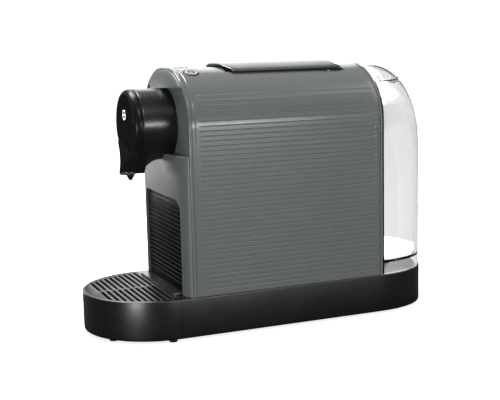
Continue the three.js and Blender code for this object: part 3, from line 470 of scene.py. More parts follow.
FLUTES = 40
FLUTE_LOW_Z, FLUTE_HIGH_Z = 48.8, 235.0
FLUTE_PITCH = (FLUTE_HIGH_Z - FLUTE_LOW_Z) / (FLUTES - 1)
FLUTE_START_Y, FLUTE_END_Y = -82.4, 103.8
FLUTE_DEPTH, FLUTE_HALF_WIDTH = 0.5, 0.64
FLUTE_SAMPLES = (-1.3, -1.0, -0.62, -0.25, 0.25, 0.62, 1.0, 1.3)
BEAD_Y, BEAD_RADIUS, BEAD_RISE = -93.2, 1.9, 1.0
STEP_Y, STEP_DROP, STEP_RUN = -88.2, 0.3, 0.7
REAR_CHAMFER = 1.0
SLOT_HALF, SLOT_FRONT_Y, SLOT_REAR_Y = 32, -41.0, 72
HINGE_HALF, HINGE_FRONT_Y, HINGE_REAR_Y = 37.2, 66, 88.2
CROWN_CUT = (235, 270)
BUTTON_BORE, LENS_BORE = 8.0, 1.55


def flute_depth(z, y):
    """Depth of the nearest flute at a point of the side."""
    nearest = round((z - FLUTE_LOW_Z) / FLUTE_PITCH)
    if not 0 <= nearest < FLUTES:
        return 0.0
    across = abs(z - FLUTE_LOW_Z - nearest * FLUTE_PITCH) / FLUTE_HALF_WIDTH
    beyond = max(FLUTE_START_Y - y, y - FLUTE_END_Y, 0.0) / FLUTE_HALF_WIDTH
    reach = math.hypot(across, beyond)
    return FLUTE_DEPTH * (1 - reach ** 2) if reach < 1 else 0.0


def edge_rise(y):
    """Height of the front bead and of the step behind it over the plain surface."""
    from_bead = (y - BEAD_Y) / BEAD_RADIUS
    if abs(from_bead) < 1:
        return BEAD_RISE * math.sqrt(1 - from_bead ** 2) - STEP_DROP * max(0.0, from_bead) ** 2
    if y < STEP_Y:
        return -STEP_DROP if y > BEAD_Y else 0.0
    return -STEP_DROP * max(0.0, 1 - (y - STEP_Y) / STEP_RUN) ** 2


def shell_path():
    """(x, z, normal x, normal z) from the left foot over the crown to the right foot."""
    heights = [FOOT_Z]
    for flute in range(FLUTES):
        middle = FLUTE_LOW_Z + flute * FLUTE_PITCH
        heights += [middle + offset * FLUTE_HALF_WIDTH for offset in FLUTE_SAMPLES]
    side = [(arch_half(z), z) for z in heights]
    shoulder_end = side[-1][0]
    side += [(x, crown_height(x)) for x in spread(shoulder_end, 0, 26)[1:]]
    right = []
    for x, z in side:
        tilt = math.pi / 2
        if z > CROWN_Z - SHOULDER_Z:
            s = (z - (CROWN_Z - SHOULDER_Z)) / SHOULDER_Z
            tilt = math.atan2(math.sqrt(max(0.0, 1 - s * s)) / SHOULDER_X, s / SHOULDER_Z)
        right.append((x, z, math.sin(tilt), math.cos(tilt)))
    return [(-x, z, -nx, nz) for x, z, nx, nz in right[:-1]] + right[::-1]


def shell_stations():
    bead = [BEAD_Y + BEAD_RADIUS * math.sin(a) for a in spread(-math.pi / 2, math.pi / 2, 13)]
    step = [-90.4, -89.2, STEP_Y, STEP_Y + 0.2, STEP_Y + 0.45, STEP_Y + STEP_RUN, -86.0]
    ends = spread(-1.0, 0.0, 5)
    start = [FLUTE_START_Y + FLUTE_HALF_WIDTH * e for e in ends]
    finish = [FLUTE_END_Y - FLUTE_HALF_WIDTH * e for e in ends[::-1]]
    middle = spread(FLUTE_START_Y, FLUTE_END_Y, 8)[1:-1]
    rear = [SHELL_REAR_Y - 1.2, SHELL_REAR_Y - 0.4, SHELL_REAR_Y]
    return bead + step + start + middle + finish + rear


def build_shell():
    stations = shell_stations()
    rings = []
    for x, z, nx, nz in shell_path():
        ring = []
        for y in stations:
            rise = edge_rise(y) - flute_depth(z, y)
            if y > SHELL_REAR_Y - REAR_CHAMFER:
                rise -= (y - SHELL_REAR_Y + REAR_CHAMFER) * 0.5
            ring.append((x + nx * rise, y, z + nz * rise))
        for y in (SHELL_REAR_Y, SHELL_FRONT_Y):
            ring.append((x - nx * SHELL_WALL, y, z - nz * SHELL_WALL))
        rings.append(ring)
    shell = make_mesh("fluted_shell", *loft(rings), sharp_deg=60)
    holes = [
        prism(box_outline(-SLOT_HALF, SLOT_HALF, SLOT_FRONT_Y, SLOT_REAR_Y), *CROWN_CUT),
        prism(box_outline(-HINGE_HALF, HINGE_HALF, HINGE_FRONT_Y, HINGE_REAR_Y), *CROWN_CUT),
    ]
    for name in ("left", "centre", "right"):
        holes.append(upright_rod(f"button_bezel_{name}", BUTTON_BORE, -12, 12))
        holes.append(upright_rod(f"indicator_lens_{name}", LENS_BORE, -12, 12))
    carve(shell, *holes, sharp_deg=60)
    dress(shell, SHELL, "body", "shell_paint", "outer_shell")


def seat(node):
    """Matrix that puts a piece at a crown fitting, with its own +Z along the crown's normal."""
    middle = middle_of(node)
    place = Vector((middle.x, middle.y, crown_height(middle.x)))
    return Matrix.Translation(place) @ Matrix.Rotation(crown_tilt(middle.x), 4, "Y")


def seated(node, points):
    return [tuple(seat(node) @ Vector(p)) for p in points]


def upright_rod(node, radius, z0, z1):
    points, faces = prism(circle(radius, sides=48), z0, z1)
    return seated(node, points), faces


# --- Front housing: a bulged column above and below the recess that the drum comes out of ---

HOUSING_WALL = 2.2
HOUSING_BACK_Y = SHELL_FRONT_Y + 2.0
HOUSING_GAP = 1.0
HOUSING_CUT = (-130, -60)
RECESS_FILLET = 0.5
BIN_GAP, DRUM_GAP = 0.8, 0.3


def bulge_y(x, z, inset):
    """Front of the bulge at a point of the arch, drawn in by inset."""
    half = BULGE_HALF - inset
    if z <= BULGE_SHRINK_Z:
        share = min(1.0, abs(x) / half)
    else:
        small, share = 0.0, 1.0
        for _ in range(24):
            tried = (small + share) / 2
            grown = BULGE_SHRINK_Z + (z - BULGE_SHRINK_Z) / tried
            inside = (grown < CROWN_Z - HOUSING_GAP - inset
                      and abs(x) / tried < arch_half(grown, HOUSING_GAP + inset))
            small, share = (small, tried) if inside else (tried, share)
    depth = SHELL_FRONT_Y - HOUSING_FRONT_Y - inset
    return SHELL_FRONT_Y + inset - depth * superellipse(share, BULGE_POWER)


def bulge_block(z0, z1, inset, foot_fillet, rim_fillet):
    """Solid between the bulge and the flat back, with a rounded edge where the recess meets it."""
    depth = RECESS_FLOOR_Y - HOUSING_FRONT_Y
    turn = spread(0, math.pi / 2, 6)
    top = min(z1, CROWN_Z - HOUSING_GAP - inset)
    rows = []
    if foot_fillet:
        rows += [(z0 + foot_fillet * (1 - math.cos(a)), foot_fillet * (1 - math.sin(a))) for a in turn]
    start, end = z0 + foot_fillet, top - rim_fillet
    if top < z1:
        rows += [(start + (end - start) * math.sin(a), 0.0) for a in spread(0, math.pi / 2, 34)]
    else:
        rows += [(z, 0.0) for z in spread(start, end, 34)]
    if rim_fillet:
        rows += [(end + rim_fillet * math.sin(a), rim_fillet * (1 - math.cos(a))) for a in turn[1:]]
    columns = [math.sin(a) for a in spread(-math.pi / 2, math.pi / 2, 81)]
    back_y = HOUSING_BACK_Y + inset
    rings = []
    for z, shrink in rows:
        half = arch_half(z, HOUSING_GAP + inset)
        front = []
        for x in [u * half for u in columns]:
            y = bulge_y(x, z, inset)
            front.append((x, y + shrink * max(0.0, RECESS_FLOOR_Y - y) / depth, z))
        rings.append(front + [(half, back_y, z), (-half, back_y, z)])
    return loft(rings)


def build_housing():
    lip = RECESS_FILLET
    housing = make_mesh("front_column", *bulge_block(FOOT_Z, RECESS_BOTTOM, 0, 0, lip), sharp_deg=40)
    heights = spread(RECESS_BOTTOM - 9, RECESS_TOP + 6, 24)
    right = [(arch_half(z, HOUSING_GAP), z) for z in heights]
    outline = right + [(-x, z) for x, z in right[::-1]]
    carve(housing, prism(outline, RECESS_FLOOR_Y, HOUSING_BACK_Y, "y"), operation="UNION")
    carve(housing, bulge_block(RECESS_TOP, CROWN_Z, 0, lip, 0), operation="UNION")
    wall = HOUSING_WALL
    carve(housing, bulge_block(FOOT_Z - 5, RECESS_BOTTOM - wall, wall, 0, 0))
    carve(housing, bulge_block(RECESS_TOP + wall, CROWN_Z, wall, 0, 0))
    doorway = rounded_rect(BIN_HALF + BIN_GAP, 0, BIN_TOP + BIN_GAP, BIN_CORNER, 16)
    opening = prism(doorway, *HOUSING_CUT, "y")
    bore = prism(circle(DRUM_RADIUS + DRUM_GAP, 0, DRUM_Z, 96), *HOUSING_CUT, "y")
    carve(housing, opening, bore, sharp_deg=40)
    dress(housing, HOUSING, "body", "grey_plastic", "front_housing")
    # The recess ceiling and the flat wall round the drum take the darker grey: painted shade in the
    # recess.
    housing.data.materials.append(RECESS_PAINTED_SHADE)
    for face in housing.data.polygons:
        on_ceiling = abs(face.center.z / MM - RECESS_TOP) < 0.8
        on_wall = face.normal.y < -0.9 and face.center.y / MM > RECESS_FLOOR_Y - 0.6
        if on_ceiling or on_wall:
            face.material_index = 1


# --- Brew head ---

HEAD_ANGLES = 144
CAP_RIM_WIDTH, CAP_RIM_DEPTH = 4.0, 6.65
SKIRT_REAR_Y = -121.0
SKIRT_TOP_Y = -105.0
DRUM_WALL = 2.5
DRUM_EDGE = 1.0
PARTING_Z, PARTING_STEP = 185.0, 0.25
FUNNEL_GAP, FUNNEL_BLEND = 0.35, 3.0
SPOUT_WALL, SPOUT_MOUTH = 1.4, 3
COLLAR_HEIGHT, COLLAR_WALL, COLLAR_DROP = 3.0, 1.6, 3.4
NOZZLE_TOP_Z = 171
MARK_OUTER, MARK_INNER, MARK_DOT = 5.1, 4.1, 1.1
MARK_BACK, MARK_EDGE, MARK_PROUD = 0.28, 0.1, 0.3


def funnel_radius(angle, bottom):
    """Distance from the drum's axis to its outline, which is drawn down to a flat of
    SPOUT_HALF either side at a depth below the axis. Angle 0 is +X and -90 degrees is down."""
    c, s = math.cos(angle), math.sin(angle)
    reach = DRUM_RADIUS
    if s >= 0 or bottom <= DRUM_RADIUS:
        return reach
    corner = math.hypot(SPOUT_HALF, bottom)
    corner_angle = math.atan2(-bottom, SPOUT_HALF)
    touch = corner_angle + math.acos(DRUM_RADIUS / corner)
    folded = math.atan2(s, abs(c))
    if folded <= corner_angle:
        return bottom / -s
    if folded < touch:
        return DRUM_RADIUS / math.cos(touch - folded)
    return reach


def smooth_loop(values, times=2):
    for _ in range(times):
        count = len(values)
        values = [(values[i - 1] + 2 * values[i] + values[(i + 1) % count]) / 4 for i in range(count)]
    return values


def head_ring(y, bottom, inset=0.0):
    """Ring of the head's outline at a station, drawn inwards by inset."""
    angles = [2 * math.pi * i / HEAD_ANGLES for i in range(HEAD_ANGLES)]
    radii = smooth_loop([funnel_radius(a, bottom) for a in angles])
    return [((r - inset) * math.cos(a), y, DRUM_Z + (r - inset) * math.sin(a))
            for a, r in zip(angles, radii)]


def skirt_bottom(y):
    """Depth of the head's underside below its axis: a concave sweep down to the spout."""
    full = DRUM_Z - DRUM_LOW.z
    if y >= SKIRT_TOP_Y:
        return DRUM_RADIUS
    if y <= SKIRT_REAR_Y:
        return full
    share = (SKIRT_TOP_Y - y) / (SKIRT_TOP_Y - SKIRT_REAR_Y)
    return DRUM_RADIUS + (full - DRUM_RADIUS) * (1 - math.sqrt(1 - share ** 2.2)) ** 0.9


def build_drum():
    deepest = DRUM_Z - DRUM_LOW.z
    quarter = math.pi / 2
    edge = [(DRUM_FRONT_Y + DRUM_EDGE * (1 - math.sin(a)), DRUM_EDGE * (1 - math.sin(quarter - a)))
            for a in spread(quarter, 0, 5)]
    sweep = [SKIRT_TOP_Y + (SKIRT_REAR_Y - SKIRT_TOP_Y) * math.sin(a) for a in spread(quarter, 0, 22)]
    rings = [head_ring(y, deepest, inset) for y, inset in edge]
    rings += [head_ring(y, deepest) for y in (-126, -123.5)]
    rings += [head_ring(y, skirt_bottom(y)) for y in sweep]
    rings += [head_ring(y, DRUM_RADIUS) for y in (-98, -90, DRUM_HIGH.y)]
    drum = make_mesh("brew_head_drum", *loft(rings), sharp_deg=45)
    bore = prism(circle(DRUM_RADIUS - DRUM_WALL, 0, DRUM_Z, 64), DRUM_FRONT_Y - 5, -70, "y")
    carve(drum, bore, sharp_deg=45)
    dress(drum, HEAD, "body", "gloss_black", "brew_head_body")


def parting_z(x):
    """Height of the line where the funnel leaves the cap's flat face."""
    t = x / DRUM_RADIUS
    wave = 3.9 * math.sin(2.35 * t + 0.25) + 1.2 * t
    return PARTING_Z - wave + 1.6 * math.exp(-((t + 0.5) / 0.4) ** 2)


def cap_half(z):
    """Half width of the cap's outline at a height."""
    drop = DRUM_Z - z
    if drop <= 0:
        return math.sqrt(max(0.0, DRUM_RADIUS ** 2 - drop ** 2))
    bottom = DRUM_Z - SPOUT_Z
    corner = math.hypot(SPOUT_HALF, bottom)
    touch = math.atan2(-bottom, SPOUT_HALF) + math.acos(DRUM_RADIUS / corner)
    touch_x, touch_drop = DRUM_RADIUS * math.cos(touch), -DRUM_RADIUS * math.sin(touch)
    if drop < touch_drop:
        return math.sqrt(DRUM_RADIUS ** 2 - drop ** 2)
    share = (drop - touch_drop) / (bottom - touch_drop)
    return touch_x + (SPOUT_HALF - touch_x) * share


def disc_y(x, z):
    """Front of the cap's flat face with its rounded rim."""
    inner = DRUM_RADIUS - CAP_RIM_WIDTH
    reach = min(1.0, (math.hypot(x, z - DRUM_Z) - inner) / CAP_RIM_WIDTH)
    if reach <= 0:
        return CAP_FRONT_Y
    return CAP_FRONT_Y + CAP_RIM_DEPTH * (1 - math.sqrt(1 - reach ** 2))


def funnel_y(x, z, half):
    """Front of the funnel that narrows to the round spout."""
    line = parting_z(x)
    share = min(1.0, max(0.0, (line - z) / (line - SPOUT_Z)))
    u = min(1.0, abs(x) / max(half, 0.01))
    round_front = SPOUT_Y - SPOUT_HALF * math.sqrt(1 - u ** 2)
    ease = share ** 0.9
    start = disc_y(x, line) + FUNNEL_GAP
    return start + (round_front - start) * ease


def build_cap():
    columns = [math.sin(a) for a in spread(-math.pi / 2, math.pi / 2, 65)]
    below, above = 30, 44
    top = DRUM_Z + DRUM_RADIUS
    rows = []
    for step in range(below + above + 1):
        row = []
        for u in columns:
            x = z = 0.0
            for _ in range(8):
                if step <= below:
                    z = SPOUT_Z + (parting_z(x) - SPOUT_Z) * step / below
                else:
                    lift = math.sin((step - below) / above * math.pi / 2)
                    start = parting_z(x) + PARTING_STEP
                    z = start + (top - start) * lift
                x = u * cap_half(z)
            y = funnel_y(x, z, cap_half(z)) if step <= below else disc_y(x, z)
            row.append((x, y, z))
        rows.append(row)
    points, faces = sheet(rows)
    wide = len(columns)
    total = len(rows)
    rim = list(range(wide)) + [r * wide + wide - 1 for r in range(1, total)]
    rim += [(total - 1) * wide + i for i in range(wide - 2, -1, -1)]
    rim += [r * wide for r in range(total - 2, 0, -1)]
    back_y = DRUM_FRONT_Y - FUNNEL_GAP
    loops = [(back_y - 0.8, 0.0), (back_y - 0.25, 0.15), (back_y, 0.7)]
    last = rim
    for y, inset in loops:
        fresh = []
        for index in rim:
            x, _, z = points[index]
            away = math.hypot(x, z - DRUM_Z) or 1.0
            fresh.append(len(points))
            points.append((x * (1 - inset / away), y, DRUM_Z + (z - DRUM_Z) * (1 - inset / away)))
        for i in range(len(rim)):
            j = (i + 1) % len(rim)
            faces.append((last[i], last[j], fresh[j], fresh[i]))
        last = fresh
    faces.append(tuple(last))
    cap = make_mesh("brew_head_cap_shell", points, faces, sharp_deg=32)
    mouth = prism(circle(SPOUT_HALF - SPOUT_WALL, 0, SPOUT_Y, 48), 150, SPOUT_Z + SPOUT_MOUTH)
    carve(cap, mouth, sharp_deg=32)
    dress(cap, RIM, "body", "gloss_black", "brew_head_cap")
    cap.data.materials.append(FACE)
    for face in cap.data.polygons:
        in_funnel = face.center.z / MM < parting_z(face.center.x / MM) + FUNNEL_BLEND
        if face.normal.y < -0.99 or in_funnel:
            face.material_index = 1


def build_spout():
    inner = SPOUT_HALF - COLLAR_WALL
    wall = [(SPOUT_HALF - 0.25, 0.3), (SPOUT_HALF, 0.7), (SPOUT_HALF, COLLAR_HEIGHT),
            (inner, COLLAR_HEIGHT), (inner, 0.6), (SPOUT_HALF - 1.2, 0.1)]
    ring = make_mesh("spout_collar", *lathe(wall, (0, SPOUT_Y, SPOUT_Z - COLLAR_DROP)))
    carve(ring, prism(box_outline(-20, 20, DRUM_FRONT_Y - 0.3, -100), 150, 170))
    dress(ring, CHROME, "body", "chrome", "spout_ring")

    node = "spout_nozzle"
    tip, y = low(node).z, middle_of(node).y
    profile = [(0.9, tip + 0.2), (1.2, tip), (1.6, tip + 0.3), (2.6, tip + 2.0), (3.8, tip + 4.2),
               (4.3, tip + 5.2), (4.1, tip + 6.2), (3.7, tip + 6.6), (3.7, NOZZLE_TOP_Z),
               (0.9, NOZZLE_TOP_Z)]
    nozzle = make_mesh("nozzle_tip", *lathe(profile, (0, y, 0)))
    dress(nozzle, TRIM, "body", "inner_plastic", node)


def build_mark():
    """Plain generic ring and dot on the cap."""
    node = "emblem_badge"
    middle = middle_of(node)
    centre = (middle.x, CAP_FRONT_Y - MARK_BACK, middle.z)
    ring = [(MARK_OUTER, MARK_BACK), (MARK_OUTER, -MARK_EDGE), (MARK_OUTER - 0.15, -MARK_PROUD),
            (MARK_INNER + 0.15, -MARK_PROUD), (MARK_INNER, -MARK_EDGE), (MARK_INNER, MARK_BACK)]
    mark = make_mesh("round_mark", *lathe(ring, centre, "y"))
    dot = [(0.01, MARK_BACK), (MARK_DOT, MARK_BACK), (MARK_DOT, -MARK_EDGE),
           (MARK_DOT - 0.15, -MARK_PROUD), (0.01, -MARK_PROUD)]
    carve(mark, lathe(dot, centre, "y", 32), operation="UNION")
    dress(mark, MARK, "body", "chrome", node)


# --- Buttons, lenses and lever ---

# Radius and height over the crown, from the axis or the outer foot round to the inner foot.
BEZEL_PROFILE = [(7.85, -3.2), (7.85, 0.15), (7.7, 0.4), (7.3, 0.5), (7.1, 0.35), (7.02, 0.0),
                 (7.02, -3.2)]
BUTTON_PROFILE = [(0.01, -4.8), (6.6, -4.8), (6.6, 0.1), (6.4, 0.5), (5.9, 0.68), (4.5, 0.5),
                  (2.5, 0.36), (0.01, 0.3)]
LENS_PROFILE = [(0.01, -3.2), (1.3, -3.2), (1.3, 0.0), (1.1, 0.2), (0.6, 0.33), (0.01, 0.36)]
SIGN_RADII = {"left": 2.0, "centre": 1.3, "right": 2.9}


def crown_ring(name, node, profile, sides=64):
    """Turned piece that stands on the crown at a CAD node."""
    points, faces = lathe(profile, (0, 0, 0), sides=sides)
    return make_mesh(name, seated(node, points), faces)


def build_buttons():
    for side, size in SIGN_RADII.items():
        bezel_node = f"button_bezel_{side}"
        ring = crown_ring(f"button_rim_{side}", bezel_node, BEZEL_PROFILE)
        dress(ring, TRIM, "body", "black_plastic", bezel_node)

        button = crown_ring(f"button_cap_{side}", bezel_node, BUTTON_PROFILE)
        dress(button, BUTTON, f"button_{side}_body", "grey_plastic", f"button_{side}")

        glyph = [(size + 0.8, 0.3), (size + 0.8, 0.5), (size + 0.6, 0.62), (size - 0.6, 0.62),
                 (size - 0.8, 0.5), (size - 0.8, 0.3)]
        sign = crown_ring(f"button_sign_{side}", bezel_node, glyph, 40)
        dress(sign, GLYPH, f"button_{side}_body", "black_plastic")

        lens_node = f"indicator_lens_{side}"
        lens = crown_ring(f"indicator_dome_{side}", lens_node, LENS_PROFILE, 32)
        dress(lens, LENS, "body", "lens", lens_node)


LEVER_THICK = 2.9
LEVER_LIFT = 0.45
LEVER_NOSE, LEVER_NOSE_DEPTH = 8.0, 2.2
LEVER_SWEEP = 7.5
LUGS_FRONT_Y = 62


def lever_start(x):
    """Front edge of the lever, which sweeps back towards both sides."""
    return LEVER_FRONT_Y + LEVER_NOSE + LEVER_SWEEP * min(1.0, abs(x) / LEVER_HALF) ** 3


def lever_ring(x, edge):
    """Side view of the lever at one x: a plate with a deeper rounded nose and a thin rear edge."""
    ground = crown_height(x) + LEVER_LIFT
    front, rear = lever_start(x), LEVER_REAR_Y - 2.0 * (1 - edge)
    points = []
    for a in spread(-math.pi / 2, math.pi / 2, 9):
        y = front + LEVER_NOSE_DEPTH * (1 - math.cos(a))
        points.append((x, y, (LEVER_THICK + 0.5) / 2 * (1 + math.sin(a))))
    points += [(x, y, LEVER_THICK) for y in spread(front + 9, rear - 1.0, 12)]
    points += [(x, rear - 0.3, LEVER_THICK - 0.3), (x, rear, LEVER_THICK - 1.0), (x, rear, 0.0)]
    points += [(x, y, 0.0) for y in spread(rear - 2.0, front + 9, 6)]
    middle = LEVER_THICK / 2
    return [(x, y, ground + middle + (z - middle) * edge) for x, y, z in points]


def build_lever():
    """A curved plate with a rounded nose, on the CAD's lugs and toothed sector."""
    columns = [math.sin(a) for a in spread(-math.pi / 2, math.pi / 2, 41)]
    rings = [lever_ring(u * LEVER_HALF, max(0.35, (1 - u ** 24)) ** 0.5) for u in columns]
    lever = make_mesh("lever_plate", *loft(rings), sharp_deg=40)
    soften(lever, 0.35, 60)
    dress(lever, LEVER_TOP_PAINTED_SHEEN, "lever", "gloss_black", "lever_handle")
    lever.data.materials.append(EDGE)
    # Faces that do not face up take the darker EDGE black, so only the top carries the painted sheen.
    for face in lever.data.polygons:
        if face.normal.z < 0.6:
            face.material_index = 1
    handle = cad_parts["lever_handle"]
    lugs = bpy.data.objects.new("lever_lugs", handle.data.copy())
    lugs.matrix_world = handle.matrix_world
    bpy.context.scene.collection.objects.link(lugs)
    carve(lugs, prism(box_outline(-60, 60, -80, LUGS_FRONT_Y), 230, 280))
    dress(lugs, EDGE, "lever", "gloss_black")


# --- Base, drip tray, grate and capsule container ---

FOOT_FILLET, RIM_FILLET = 2.2, 0.8
FRONT_END, REAR_END = -220, 220
TOP_CUT, REAR_CUT = (30, 50), (170, 195)
DOCK_BORE, GLAND_BORE = 12.4, 6.4
GLAND_Z = 16
LEDGE_Z, LEDGE = 38.4, 2.2
TRAY_FLOOR = 2.8
SLED_INSET, SLED_GAP = 2, 0.6


def keep_side(y0, y1):
    return prism(box_outline(-90, 90, y0, y1), -10, 80)


def foot_block(name):
    """Solid of the whole base and tray, to be cut in two."""
    levels = fillet_levels(BASE_BOTTOM, BASE_TOP, FOOT_FILLET, RIM_FILLET)
    return make_mesh(name, *base_loft(levels))


def plan_block(inset, z0, z1, y0, y1):
    """Upright solid inside the base's plan between two stations, to hollow with."""
    block = make_mesh("hollow", *base_loft([(z0, inset), (z1, inset)]))
    carve(block, keep_side(y0, y1), operation="INTERSECT")
    return block


def build_base():
    front_y = TRAY_SPLIT_Y + 0.3
    base = foot_block("base_shell")
    carve(base, keep_side(front_y, REAR_END), operation="INTERSECT")
    apply_tool(base, plan_block(BASE_WALL, -5, BASE_TOP - BASE_WALL, front_y + BASE_WALL, REAR_END))
    dock = middle_of("tank_dock")
    dock_bore = prism(circle(DOCK_BORE, dock.x, dock.y, 64), *TOP_CUT)
    gland_bore = prism(circle(GLAND_BORE, 0, GLAND_Z, 48), *REAR_CUT, "y")
    carve(base, dock_bore, gland_bore)
    dress(base, BLACK, "body", "black_plastic", "base_housing")


def build_tray():
    tray = foot_block("tray_shell")
    carve(tray, keep_side(FRONT_END, TRAY_SPLIT_Y), operation="INTERSECT")
    for wall, floor_z in ((BASE_WALL, LEDGE_Z), (BASE_WALL + LEDGE, BASE_BOTTOM + TRAY_FLOOR)):
        apply_tool(tray, plan_block(wall, floor_z, 60, FRONT_END, TRAY_SPLIT_Y - wall))
    half, wall_y = BIN_HALF - SLED_INSET, TRAY_SPLIT_Y - BASE_WALL
    sled_end = high("drip_tray")
    sled = [
        prism(box_outline(-half, half, wall_y, sled_end.y), BASE_TOP + SLED_GAP, sled_end.z),
        prism(box_outline(-half, half, wall_y, TRAY_SPLIT_Y), LEDGE_Z, sled_end.z),
    ]
    carve(tray, *sled, operation="UNION")
    dress(tray, BLACK, "tray_unit", "black_plastic", "drip_tray")


GRATE_PITCH = 5.9
GRATE_SLOT, GRATE_SPINE, GRATE_RIM, GRATE_GAP = 3.1, 1.6, 7.0, 0.3
FIRST_SLOT, LAST_SLOT = 4.5, 14


def build_grate():
    node = "drip_grate"
    rear = high(node).y
    levels = fillet_levels(low(node).z, high(node).z, 0.3, 0.6, 3)
    levels = [(z, BASE_WALL + GRATE_GAP + inset) for z, inset in levels]
    grate = make_mesh("grate_plate", *base_loft(levels))
    carve(grate, keep_side(FRONT_END, rear), operation="INTERSECT")
    slots = []
    y = rear - FIRST_SLOT
    while y > FRONT_Y + LAST_SLOT:
        along = min(1.0, (FRONT_Y + FRONT_RADIUS - y) / FRONT_RADIUS)
        reach = BASE_HALF * math.sqrt(1 - along * along) - GRATE_RIM
        for side in (-1, 1):
            ends = sorted((side * GRATE_SPINE, side * reach))
            slot = box_outline(*ends, y - GRATE_SLOT / 2, y + GRATE_SLOT / 2)
            slots.append(prism(slot, *TOP_CUT))
        y -= GRATE_PITCH
    carve(grate, joined(slots))
    soften(grate, 0.35, 50)
    dress(grate, RIBBED, "grate", "black_plastic", node)


RIB_PITCH, RIB_PROUD, RIB_HALF = 4.45, 0.85, 1.0
RIBS, RIB_FOOT, RIB_INSET, RIB_ROOT = 19, 7, 3, 0.3
BIN_WALL = 2.2


def build_container():
    """Front panel with round-topped ribs, and the open bin behind it."""
    outline = rounded_rect(BIN_HALF, BIN_LOW.z, BIN_TOP, BIN_CORNER, 14)
    panel = make_mesh("container_panel", *prism(outline, BIN_FRONT_Y, BIN_FRONT_Y + BIN_WALL, "y"))
    soften(panel, 0.5)
    floor, rim_z, wall = BIN_LOW.z, BIN_TOP - BIN_CORNER, BIN_WALL
    outer = prism(box_outline(-BIN_HALF, BIN_HALF, BIN_FRONT_Y + 1, BIN_HIGH.y), floor, rim_z)
    inner = prism(box_outline(-BIN_HALF + wall, BIN_HALF - wall, BIN_FRONT_Y + wall, BIN_HIGH.y - wall),
                  floor + wall, rim_z + 10)
    carve(panel, outer, operation="UNION")
    carve(panel, inner)
    ribs = []
    for i in range(RIBS):
        z = BIN_LOW.z + RIB_FOOT + i * RIB_PITCH
        half = BIN_HALF - RIB_INSET - (BIN_CORNER * 0.35 if z > BIN_TOP - BIN_CORNER else 0)
        profile = [(BIN_FRONT_Y + RIB_ROOT, z - RIB_HALF)]
        profile += [(BIN_FRONT_Y - RIB_PROUD * math.sin(a), z - RIB_HALF * math.cos(a))
                    for a in spread(0, math.pi, 9)]
        profile += [(BIN_FRONT_Y + RIB_ROOT, z + RIB_HALF)]
        ribs.append(prism(profile, -half, half, "x"))
    ribs = make_mesh("container_ribs", *joined(ribs))
    dress(ribs, PANEL, "tray_unit", "black_plastic")
    dress(panel, PANEL, "tray_unit", "black_plastic", "capsule_container")


# --- Water tank, lid and water ---

VALVE_BORE = 7.4
WATER_GAP = 0.15
LID_GAP = 0.3
KNUCKLE, PIVOT_Z = 2.3, 257.6
KNUCKLE_GAP, KNUCKLE_INNER, KNUCKLE_OUTER = 5.3, 5.6, 9.6
TAB_HALF, TAB_FRONT_Y, TAB_REAR_Y, TAB_HEIGHT = 13, 157, 166, 2.8


def rear_solid(inset, from_y, foot, stations=26, steps=16):
    """The body behind the shell: the arch narrows with the base's plan and falls to the rear."""
    rear_y = TANK_REAR_Y - inset
    plan = TANK_RADIUS - inset
    fall = TANK_PROFILE - inset
    rings = []
    for i in range(stations + 1):
        y = from_y + (rear_y - TANK_TIP - from_y) * math.sin(i / stations * math.pi / 2)
        wide = superellipse(max(0.0, (y - rear_y + plan) / plan), REAR_POWER)
        tall = superellipse(max(0.0, (y - rear_y + fall) / fall), TANK_PROFILE_POWER)
        half = (ARCH_HALF - inset) * wide
        crown = BASE_TOP + (CROWN_Z - inset - BASE_TOP) * tall
        shoulder_x, shoulder_z = (SHOULDER_X - inset) * wide, (SHOULDER_Z - inset) * tall
        right = [(half, foot)]
        for k in range(steps + 1):
            a = k / steps * math.pi / 2
            right.append((half - shoulder_x * (1 - math.cos(a)),
                          max(foot + 0.01, crown - shoulder_z * (1 - math.sin(a)))))
        ring = right + [(-x, z) for x, z in right[::-1]]
        rings.append([(x, y, z) for x, z in ring])
    return loft(rings)


def slab(z0, z1):
    return prism(box_outline(-90, 90, 90, 200), z0, z1)


def build_tank():
    tank = make_mesh("tank_body", *rear_solid(0, TANK_FRONT_Y, TANK_FOOT_Z))
    carve(tank, slab(TANK_SPLIT_Z, 300))
    hollow = make_mesh("hollow", *rear_solid(TANK_WALL, TANK_FRONT_Y + TANK_WALL, 20))
    carve(hollow, slab(TANK_FLOOR_Z - 3, TANK_FLOOR_Z))
    apply_tool(tank, hollow)
    valve = middle_of("tank_valve")
    carve(tank, prism(circle(VALVE_BORE, valve.x, valve.y, 48), 50, 62), sharp_deg=40)
    dress(tank, CLEAR, "tank", "clear_plastic", "water_tank")

    inset = TANK_WALL + WATER_GAP
    body = rear_solid(inset, TANK_FRONT_Y + inset, TANK_FLOOR_Z + 3.2)
    water = make_mesh("water_fill", *body)
    carve(water, slab(WATER_Z, 300), sharp_deg=40)
    dress(water, WATER, "tank", "clear_plastic")


